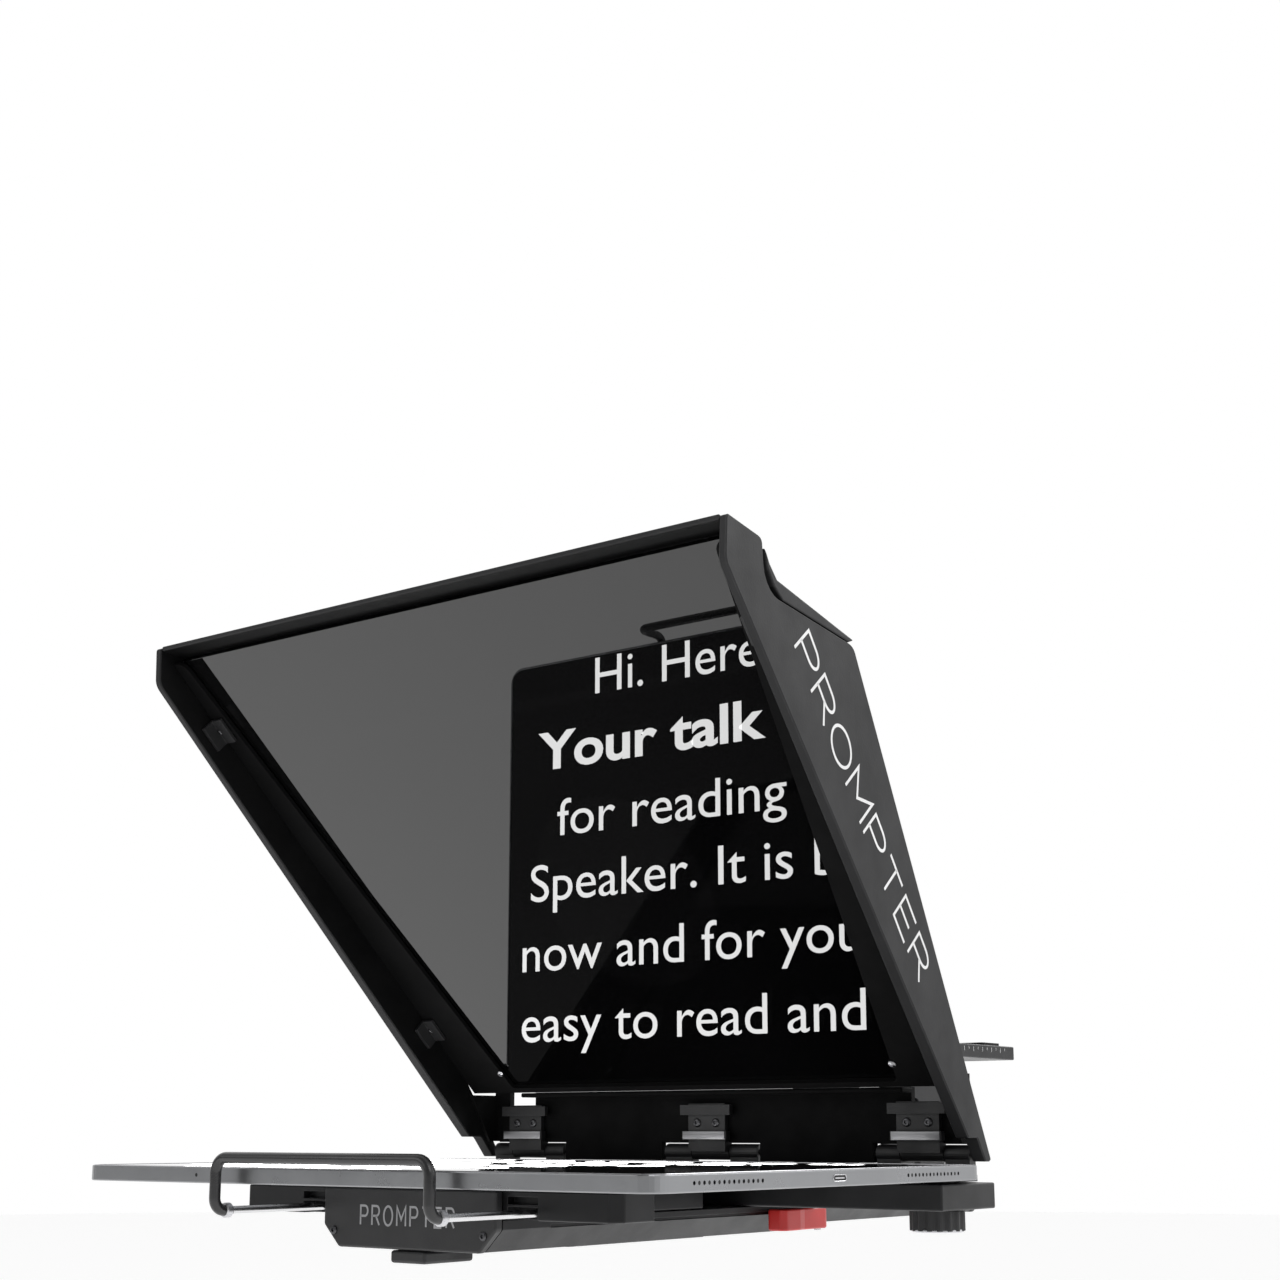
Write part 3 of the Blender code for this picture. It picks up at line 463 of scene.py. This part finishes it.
def add_screw(form, matrix, size):
    """A button head with a hexagonal socket."""
    steps = 24
    radius, height = size
    socket = radius * 0.5
    sixth = math.radians(60.0)
    angles = [TURN * k / steps for k in range(steps)]
    nearest = [sixth * round(t / sixth) for t in angles]
    hexagon = [
        socket * math.cos(sixth / 2.0) / math.cos(abs(t - flat)) for t, flat in zip(angles, nearest)
    ]
    rows = [
        ([radius] * steps, 0.0),
        ([radius] * steps, height * 0.45),
        ([radius * 0.82] * steps, height * 0.85),
        ([radius * 0.62] * steps, height),
        (hexagon, height),
        (hexagon, height * 0.3),
    ]
    rings = [
        [
            form.verts.new(matrix @ Vector((r * math.cos(t), r * math.sin(t), rise)))
            for r, t in zip(radii, angles)
        ]
        for radii, rise in rows
    ]
    for low, high in zip(rings, rings[1:]):
        for k in range(steps):
            form.faces.new((low[k], low[(k + 1) % steps], high[(k + 1) % steps], high[k]))
    form.faces.new(rings[0][::-1])
    form.faces.new(rings[-1])


def screws(name, places, body, size, finish):
    """One piece that holds a head at each (centre, normal)."""
    form = bmesh.new()
    for centre, normal in places:
        add_screw(form, frame_at(centre, normal, (1.0, 0.3, 0.2)), size)
    piece(name, form, finish, body)


def make_screws():
    mirror = tree_of("mirror_frame")
    spots = []
    for _, side in SIDES:
        x, y, z = CLIP_PLACE
        start = Vector((side * x, y, z)) - INTO_GLASS * CLIP_RAY
        spots.append(on_surface(mirror, start, INTO_GLASS))
    screws("mirror_clip_screws", spots, "hood", CLIP_SCREW, TURNED)
    leaf = tree_of("hinge_leaf_centre")
    front, facing = on_surface(leaf, (0.0, 0.0, LEAF_SCREW_Z), (0.0, 1.0, 0.0))
    spots = [
        ((middle + shift, front.y, LEAF_SCREW_Z), facing)
        for _, middle in HINGES for shift in (-LEAF_SCREW_HALF, LEAF_SCREW_HALF)
    ]
    screws("hinge_leaf_screws", spots, "hood", LEAF_SCREW, BLACKENED)
    for level, z in BRACKET_LEVELS:
        spots = []
        for name, side in SIDES:
            low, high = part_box(f"panel_bracket_{name}_{level}")
            middle = (low + high) / 2.0
            above = Vector((middle.x + side * BRACKET_SCREW_SHIFT, middle.y, z))
            tree = tree_of(f"panel_bracket_{name}_{level}")
            spots.append(on_surface(tree, above - INTO_GLASS * BRACKET_RAY, INTO_GLASS))
        screws(f"bracket_screws_{level}", spots, "hood", BRACKET_SCREW, BLACKENED)
    for end, half, outwards in (("front", FRONT_CAP_HALF, -1.0), ("rear", REAR_CAP_HALF, 1.0)):
        low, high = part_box(f"{end}_end_cap")
        cap = tree_of(f"{end}_end_cap")
        start_y = (high.y if outwards > 0.0 else low.y) + outwards * RAY_START
        z = (low.z + high.z) / 2.0 if outwards > 0.0 else low.z + FRONT_CAP_RISE
        spots = [
            on_surface(cap, (side * half, start_y, z), (0.0, -outwards, 0.0)) for _, side in SIDES
        ]
        screws(f"{end}_cap_screws", spots, "base", CAP_SCREW, BLACKENED)


# Wire bracket with smooth bends


WIRE_RADIUS = 0.00205
LOOP_HALF, LOOP_FRONT, LOOP_REAR = 0.0534, -0.1489, -0.1414
LOOP_TOP, LOOP_LOW = 0.0336, 0.0148
LOWER_BEND, UPPER_BEND = 0.0045, 0.0055
FERRULE_SETBACK = 0.0032
FERRULE = [(0.0022, 0.0), (0.0027, 0.0004), (0.0027, 0.0024), (0.0022, 0.0029)]


def make_wire_loop():
    left_side = [
        (-LOOP_HALF, LOOP_REAR, LOOP_LOW),
        (-LOOP_HALF, LOOP_FRONT, LOOP_LOW),
        (-LOOP_HALF, LOOP_FRONT, LOOP_TOP),
    ]
    corners = left_side + [(-x, y, z) for x, y, z in reversed(left_side)]
    path = [Vector(corners[0])]
    for index, bend in ((1, LOWER_BEND), (2, UPPER_BEND), (3, UPPER_BEND), (4, LOWER_BEND)):
        path += bend_points(corners[index - 1], corners[index], corners[index + 1], bend)
    path.append(Vector(corners[-1]))
    form = bmesh.new()
    add_tube(form, path, WIRE_RADIUS, 24)
    loop = piece("bracket_loop_wire", form, FINISHES["coated_wire"], "bracket")
    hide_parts("bracket_loop")
    for name, side in SIDES:
        form = bmesh.new()
        place = (side * LOOP_HALF, LOOP_REAR - FERRULE_SETBACK, LOOP_LOW)
        add_lathe(form, FERRULE, frame_at(place, (0.0, 1.0, 0.0)))
        piece(f"bracket_ferrule_{name}", form, TURNED, "bracket")


# Printed lettering: a plain generic word in single strokes


def arc(centre_x, centre_y, half_x, half_y, start, end, steps=12):
    """Points of an ellipse between two angles in degrees."""
    angles = [math.radians(start + (end - start) * k / steps) for k in range(steps + 1)]
    return [(centre_x + half_x * math.cos(t), centre_y + half_y * math.sin(t)) for t in angles]


STROKES = {
    "P": [[(0.0, 0.0), (0.0, 1.0), *arc(0.42, 0.73, 0.28, 0.27, 90.0, -90.0), (0.0, 0.46)]],
    "R": [
        [(0.0, 0.0), (0.0, 1.0), *arc(0.42, 0.74, 0.28, 0.26, 90.0, -90.0), (0.0, 0.48)],
        [(0.38, 0.48), (0.72, 0.0)],
    ],
    "O": [arc(0.42, 0.5, 0.42, 0.5, 0.0, 360.0, 32)],
    "M": [[(0.0, 0.0), (0.0, 1.0), (0.42, 0.34), (0.84, 1.0), (0.84, 0.0)]],
    "T": [[(0.0, 1.0), (0.74, 1.0)], [(0.37, 1.0), (0.37, 0.0)]],
    "E": [[(0.66, 0.0), (0.0, 0.0), (0.0, 1.0), (0.66, 1.0)], [(0.0, 0.52), (0.56, 0.52)]],
}
WORD = "PROMPTER"
LETTER_GAP = 0.34  # as a share of the letters' height, like the strokes' points
# The panel word's baseline from its top end to its bottom end, as (y, z).
PANEL_WORD = (Vector((-0.0681, 0.2095)), Vector((0.0264, 0.0987)))
# Letter height and line width on the panels and on the front cap, whose word is CAP_WORD long.
PANEL_LETTER, PANEL_LINE = 0.0125, 0.00125
CAP_LETTER, CAP_LINE = 0.0068, 0.0008
CAP_WORD, CAP_BASELINE = 0.047, 0.0092


def add_stroke(form, line, width, lay):
    """A thin ribbon along a line of flat points; lay turns flat points into space."""
    points = [Vector(p) for p in line]
    closed = (points[0] - points[-1]).length < 1e-9
    if closed:
        points = points[:-1]
    count = len(points)
    rails = []
    for k, point in enumerate(points):
        sides = []
        if closed or k > 0:
            sides.append((point - points[k - 1]).normalized())
        if closed or k < count - 1:
            sides.append((points[(k + 1) % count] - point).normalized())
        normals = [Vector((-s.y, s.x)) for s in sides]
        middle = sum(normals, Vector((0.0, 0.0))).normalized()
        reach = width / 2.0 / max(0.4, middle.dot(normals[0]))
        rails.append([form.verts.new(lay(point + middle * r)) for r in (reach, -reach)])
    for k in range(count if closed else count - 1):
        a, b = rails[k], rails[(k + 1) % count]
        form.faces.new((a[0], a[1], b[1], b[0]))


def add_word(form, lay, length, height, weight):
    """The word fits length, with letters stretched sideways and a small gap between them."""
    widths = [max(x for line in STROKES[letter] for x, _ in line) for letter in WORD]
    gap = LETTER_GAP * height
    stretch = (length - gap * (len(WORD) - 1)) / sum(widths)
    pen = 0.0
    for letter, wide in zip(WORD, widths):
        for line in STROKES[letter]:
            add_stroke(form, [(pen + x * stretch, y * height) for x, y in line], weight, lay)
        pen += wide * stretch + gap


def make_lettering():
    start, end = PANEL_WORD
    length = (end - start).length
    along = (end - start).normalized()
    up = Vector((-along.y, along.x))
    for name, side in SIDES:
        tree = tree_of(f"side_panel_{name}")

        def lay(flat, side=side, tree=tree):
            run = flat.x if side > 0.0 else length - flat.x
            spot = start + along * run + up * flat.y
            hit, normal = on_surface(tree, (side * 0.3, spot.x, spot.y), (-side, 0.0, 0.0))
            return hit + normal * PRINT_LIFT

        form = bmesh.new()
        add_word(form, lay, length, PANEL_LETTER, PANEL_LINE)
        piece(f"panel_lettering_{name}", form, PRINT, "hood", smooth=False)
    low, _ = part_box("front_end_cap")
    cap = tree_of("front_end_cap")

    def lay_front(flat):
        ray_start = (flat.x - CAP_WORD / 2.0, low.y - RAY_START, flat.y + CAP_BASELINE)
        hit, normal = on_surface(cap, ray_start, (0.0, 1.0, 0.0))
        return hit + normal * PRINT_LIFT

    form = bmesh.new()
    add_word(form, lay_front, CAP_WORD, CAP_LETTER, CAP_LINE)
    piece("front_lettering", form, PRINT_DIM, "base", smooth=False)


# The script on the screen, laid out mirrored so that it reads right in the glass


CAP_HEIGHT = 0.0195
FONT_CAPITAL = 0.729  # a capital's height where the font's size is 1
SCRIPT_LIFT = 0.00012
# Words, left and right ends, and middle from the tablet's front edge in millimetres; then how
# much bolder the letters are drawn, in metres.
SCRIPT_LINES = [
    ("Hi. Here", -84.0, 15.0, 10.8, 0.0),
    ("Your talk", -121.0, 18.0, 45.6, 0.0006),
    ("s", 26.0, 35.0, 45.6, 0.0),
    ("for reading", -108.0, 29.0, 80.4, 0.0),
    ("Speaker. It is b", -125.0, 56.0, 112.8, 0.0),
    ("now and for you,", -130.0, 74.0, 147.6, 0.0),
    ("easy to read and m", -130.0, 100.0, 182.4, 0.0),
]


def text_outline(words, weight):
    """The words as a flat mesh one capital high, made by Blender's own font."""
    curve = bpy.data.curves.new("words", "FONT")
    curve.body = words
    curve.size = CAP_HEIGHT / FONT_CAPITAL
    curve.offset = weight
    curve.resolution_u = 6
    holder = bpy.data.objects.new("words", curve)
    bpy.context.scene.collection.objects.link(holder)
    bpy.context.view_layer.update()
    graph = bpy.context.evaluated_depsgraph_get()
    mesh = bpy.data.meshes.new_from_object(holder.evaluated_get(graph))
    bpy.data.objects.remove(holder, do_unlink=True)
    return mesh


def make_script():
    _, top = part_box("tablet_glass")
    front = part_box("tablet_body")[0].y
    for index, (words, left, right, middle, weight) in enumerate(SCRIPT_LINES):
        mesh = text_outline(words, weight)
        xs = [v.co.x for v in mesh.vertices]
        stretch = (right - left) * MM / (max(xs) - min(xs))
        form = bmesh.new()
        form.from_mesh(mesh)
        for vert in form.verts:
            across = left * MM + (vert.co.x - min(xs)) * stretch
            back = front + middle * MM + CAP_HEIGHT / 2.0 - vert.co.y
            vert.co = (across, back, top.z + SCRIPT_LIFT)
        bpy.data.meshes.remove(mesh)
        name = f"script_line_{index + 1}"
        piece(name, form, SCRIPT, "base", smooth=False)


# Small parts: tablet port and camera, knob rings, hinge trims, scale


BEZEL_INSET, BEZEL_CORNER, BEZEL_WIRE, BEZEL_SUNK = 0.0009, 0.0072, 0.0003, 0.00012
PORT_HALF, PORT_CORNER, PORT_Z = (0.0042, 0.0011), 0.00109, 0.0270
PORT_LIFT, RIM_LIFT, RIM_WIRE = 0.00005, 0.00006, 0.00018
TONGUE_HALF, TONGUE_BACK, TONGUE_FRONT = (0.0030, 0.00025), 0.0002, 0.00012
LENS_INSET = 0.0052
LENS = [(0.0016, 0.0), (0.0016, 0.00008), (0.0012, 0.00012), (0.0006, 0.00006)]
# The CAD cuts 8 holes between these distances from the middle of each end of the tablet.
NEAR_HOLE, FAR_HOLE, CUT_HOLES = 0.0479, 0.0862, 8
SMALL_HOLE = [(0.0007, 0.0), (0.0006, 0.00004)]
MICROPHONE_X = -0.0725


def rounded_outline(half_x, half_y, radius, steps=8):
    """Points round a flat rectangle with round corners."""
    points = []
    for quarter, (sx, sy) in enumerate(((1, 1), (-1, 1), (-1, -1), (1, -1))):
        centre = Vector((sx * (half_x - radius), sy * (half_y - radius)))
        for k in range(steps + 1):
            angle = TURN / 4.0 * (quarter + k / steps)
            points.append(centre + radius * Vector((math.cos(angle), math.sin(angle))))
    return points


def make_tablet_details():
    low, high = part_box("tablet_body")
    centre = (low + high) / 2.0
    half = (high - low) / 2.0
    # A thin bright steel ring just under the top edge: partly the polished chamfer, partly a painted
    # highlight.
    bezel = rounded_outline(half.x - BEZEL_INSET, half.y - BEZEL_INSET, BEZEL_CORNER)
    level = high.z - BEZEL_SUNK
    form = bmesh.new()
    path = [(centre.x + p.x, centre.y + p.y, level) for p in bezel]
    add_tube(form, path, BEZEL_WIRE, 8, closed=True)
    piece("tablet_bezel_chamfer_highlight", form, TURNED, "base")
    port = rounded_outline(*PORT_HALF, PORT_CORNER)
    # The port's opening is a flat near-black face: painted shade.
    form = bmesh.new()
    back = [form.verts.new((high.x + PORT_LIFT, centre.y + p.x, PORT_Z + p.y)) for p in port]
    form.faces.new(back)
    piece("tablet_port", form, PAINTED_HOLE_SHADE, "base", smooth=False)
    form = bmesh.new()
    path = [(high.x + RIM_LIFT, centre.y + p.x, PORT_Z + p.y) for p in port]
    add_tube(form, path, RIM_WIRE, 8, closed=True)
    half_y, half_z = TONGUE_HALF
    tongue_low = (high.x - TONGUE_BACK, centre.y - half_y, PORT_Z - half_z)
    tongue_high = (high.x + TONGUE_FRONT, centre.y + half_y, PORT_Z + half_z)
    add_plate(form, tongue_low, tongue_high, 0.00008)
    piece("tablet_port_rim", form, TURNED, "base")
    form = bmesh.new()
    lens = frame_at((0.0, low.y + LENS_INSET, high.z), (0.0, 0.0, 1.0), (0.0, 1.0, 0.0))
    add_lathe(form, LENS, lens)
    finish = FINISHES["tablet_screen_glass"]
    piece("tablet_front_camera", form, finish, "base")


def make_speaker_holes():
    """Dark dots of painted shade that stand for finer holes between the ones that are cut in the
    tablet's ends, and one for the microphone hole.
    """
    low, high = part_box("tablet_body")
    middle = (low + high) / 2.0
    form = bmesh.new()
    pitch = (FAR_HOLE - NEAR_HOLE) / (CUT_HOLES - 1)
    for _, side in SIDES:
        x = high.x if side > 0.0 else low.x
        for along in (-1.0, 1.0):
            for k in range(CUT_HOLES - 1):
                y = middle.y + along * (NEAR_HOLE + pitch * (k + 0.5))
                hole = frame_at((x, y, middle.z), (side, 0.0, 0.0))
                add_lathe(form, SMALL_HOLE, hole, 12)
    piece("tablet_speaker_hole_shade", form, PAINTED_HOLE_SHADE, "base", smooth=False)
    form = bmesh.new()
    spot = frame_at((MICROPHONE_X, low.y, middle.z), (0.0, -1.0, 0.0))
    add_lathe(form, SMALL_HOLE, spot, 16)
    piece("tablet_microphone_hole_shade", form, PAINTED_HOLE_SHADE, "base", smooth=False)


# Front and back are in Y, low and top in Z, half and inner in X.
SEAL_FRONT, SEAL_BACK, SEAL_HALF = 0.08785, 0.08825, 0.1272
STRIP_LOW, STRIP_TOP = 0.0378, 0.0420
WING_INNER, WING_LOW, WING_TOP = 0.1185, 0.0400, 0.0660
# The spans of X beside the hinge openings that a tab below the strip covers.
TABS = ((-0.0835, -0.0805), (-0.0308, -0.0278), (0.0278, 0.0308), (0.0805, 0.0835))
TAB_LOW, TAB_TOP = 0.0302, 0.0380


def make_light_seal():
    """A rubber strip behind the lower panel that closes the slits round the hinge knuckles."""
    form = bmesh.new()
    add_plate(form, (-SEAL_HALF, SEAL_FRONT, STRIP_LOW), (SEAL_HALF, SEAL_BACK, STRIP_TOP))
    for _, side in SIDES:
        low, high = sorted((side * WING_INNER, side * SEAL_HALF))
        add_plate(form, (low, SEAL_FRONT, WING_LOW), (high, SEAL_BACK, WING_TOP))
    for low, high in TABS:
        add_plate(form, (low, SEAL_FRONT, TAB_LOW), (high, SEAL_BACK, TAB_TOP))
    piece("hood_light_seal", form, FINISHES["rubber"], "hood", smooth=False)


KNOB_RING, KNOB_RING_WIRE = 0.0098, 0.0007


def make_knob_rings():
    """A steel ring and a screw under each clamp knob."""
    for name, _ in SIDES:
        low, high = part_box(f"clamp_knob_{name}")
        middle = (low + high) / 2.0
        form = bmesh.new()
        path = [
            (middle.x + KNOB_RING * math.cos(t), middle.y + KNOB_RING * math.sin(t), low.z + 0.0001)
            for t in (TURN * k / 48 for k in range(48))
        ]
        add_tube(form, path, KNOB_RING_WIRE, 10, closed=True)
        under = frame_at((middle.x, middle.y, low.z), (0.0, 0.0, -1.0), (0.0, 1.0, 0.0))
        add_screw(form, under, KNOB_SCREW)
        piece(f"clamp_knob_ring_{name}", form, TURNED, f"clamp_{name}")


TRIM_HALF, TRIM_FRONT, TRIM_BACK = 0.0113, 0.07955, 0.07995
TRIM_LOW, TRIM_TOP = 0.0394, 0.0428


def make_hinge_trims():
    for name, middle in HINGES:
        form = bmesh.new()
        low = (middle - TRIM_HALF, TRIM_FRONT, TRIM_LOW)
        high = (middle + TRIM_HALF, TRIM_BACK, TRIM_TOP)
        add_plate(form, low, high, 0.00015)
        piece(f"hinge_trim_{name}", form, SATIN_STEEL, "hood")


TICK_STEP, TICK_MARGIN, TICK_HALF = 0.005, 0.01, 0.00015
LONG_TICK, SHORT_TICK = 0.0024, 0.0014
TICK_DROP = 0.0012  # from the plate's top to the ticks


def make_scale():
    """Plain ticks along the camera plate's side, every 5 mm and longer every 10 mm."""
    low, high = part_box("camera_plate")
    tree = tree_of("camera_plate")
    form = bmesh.new()
    steps = int((high.y - low.y - 2.0 * TICK_MARGIN) / TICK_STEP)
    top = high.z - TICK_DROP
    for k in range(steps + 1):
        y = low.y + TICK_MARGIN + TICK_STEP * k
        tall = LONG_TICK if k % 2 == 0 else SHORT_TICK
        hit, _ = on_surface(tree, (0.2, y, high.z - 0.003), (-1.0, 0.0, 0.0))
        near, far = y - TICK_HALF, y + TICK_HALF
        corners = [(near, top), (far, top), (far, top - tall), (near, top - tall)]
        form.faces.new([form.verts.new((hit.x + 0.00006, u, v)) for u, v in corners])
    piece("plate_scale", form, PRINT, "camera_slide", smooth=False)


# Stage


FLOOR_Z, FLOOR_RADIUS = -0.35, 9.0
FLOOR_TONE, FLOOR_GLOW = 0.93, 0.3
# The studio is dark on the talent's side, which is what the front faces reflect.
DARK_SIDE = (0.24, 0.24, 0.24)
DARK_UNTIL, PALE_FROM = 0.25, 0.6
# Each lamp's place, size and watts. All three aim at one point.
LAMPS = (
    ("key", (1.6, -0.9, 1.5), (1.2, 1.2), 10.0),
    ("fill", (-1.2, -1.8, 0.9), (1.4, 1.0), 6.0),
    ("rim", (0.6, 1.9, 1.3), (1.6, 0.6), 14.0),
)
LAMP_AIM = Vector((0.0, 0.0, 0.12))
CAMERA_PLACE = (0.4952, -0.6101, 0.0431)
CAMERA_LOOKS_UP, CAMERA_TURNS = math.radians(10.87), math.radians(37.56)
CAMERA_LENS, CAMERA_SHIFT = 53.14, 0.1


def make_stage():
    material = bpy.data.materials.new("stage_pale")
    material.use_nodes = True
    shader = material.node_tree.nodes["Principled BSDF"]
    shader.inputs["Base Color"].default_value = (FLOOR_TONE, FLOOR_TONE, FLOOR_TONE, 1.0)
    shader.inputs["Roughness"].default_value = 0.9
    shader.inputs["Emission Color"].default_value = (1.0, 1.0, 1.0, 1.0)
    shader.inputs["Emission Strength"].default_value = FLOOR_GLOW
    mesh = bpy.data.meshes.new("floor")
    form = bmesh.new()
    bmesh.ops.create_circle(form, cap_ends=True, segments=96, radius=FLOOR_RADIUS)
    form.to_mesh(mesh)
    form.free()
    mesh.materials.append(material)
    floor = bpy.data.objects.new("floor", mesh)
    floor.location = (0.0, 0.0, FLOOR_Z)
    bpy.context.scene.collection.objects.link(floor)


def make_world():
    """An even studio that darkens towards the talent."""
    world = bpy.data.worlds.new("studio")
    bpy.context.scene.world = world
    world.use_nodes = True
    tree = world.node_tree
    background = tree.nodes["Background"]
    background.inputs["Strength"].default_value = 1.0
    towards = tree.nodes.new("ShaderNodeSeparateXYZ")
    direction = tree.nodes.new("ShaderNodeTexCoord").outputs["Generated"]
    tree.links.new(direction, towards.inputs[0])
    ramp = tree.nodes.new("ShaderNodeValToRGB")
    ramp.color_ramp.elements[0].color = (*DARK_SIDE, 1.0)
    ramp.color_ramp.elements[0].position = DARK_UNTIL
    ramp.color_ramp.elements[1].position = PALE_FROM
    shifted = tree.nodes.new("ShaderNodeMapRange")
    shifted.inputs["From Min"].default_value = -1.0
    tree.links.new(towards.outputs["Y"], shifted.inputs["Value"])
    tree.links.new(shifted.outputs["Result"], ramp.inputs["Fac"])
    tree.links.new(ramp.outputs["Color"], background.inputs["Color"])
    bpy.context.scene.view_settings.view_transform = "Standard"


def make_lamps():
    for name, place, size, power in LAMPS:
        data = bpy.data.lights.new(name, "AREA")
        data.shape = "RECTANGLE"
        data.size, data.size_y = size
        data.energy = power
        light = bpy.data.objects.new(name, data)
        light.location = place
        light.rotation_mode = "QUATERNION"
        light.rotation_quaternion = (LAMP_AIM - Vector(place)).to_track_quat("-Z", "Y")
        bpy.context.scene.collection.objects.link(light)


def make_camera():
    data = bpy.data.cameras.new("photo_view")
    data.sensor_width = 36.0
    data.lens = CAMERA_LENS
    data.shift_y = CAMERA_SHIFT
    camera = bpy.data.objects.new("photo_view", data)
    camera.location = CAMERA_PLACE
    camera.rotation_euler = (math.radians(90.0) + CAMERA_LOOKS_UP, 0.0, CAMERA_TURNS)
    bpy.context.scene.collection.objects.link(camera)
    bpy.context.scene.camera = camera


dress_nodes()
make_screws()
make_wire_loop()
make_lettering()
make_script()
make_tablet_details()
make_speaker_holes()
make_light_seal()
make_knob_rings()
make_hinge_trims()
make_scale()
make_stage()
make_world()
make_lamps()
make_camera()
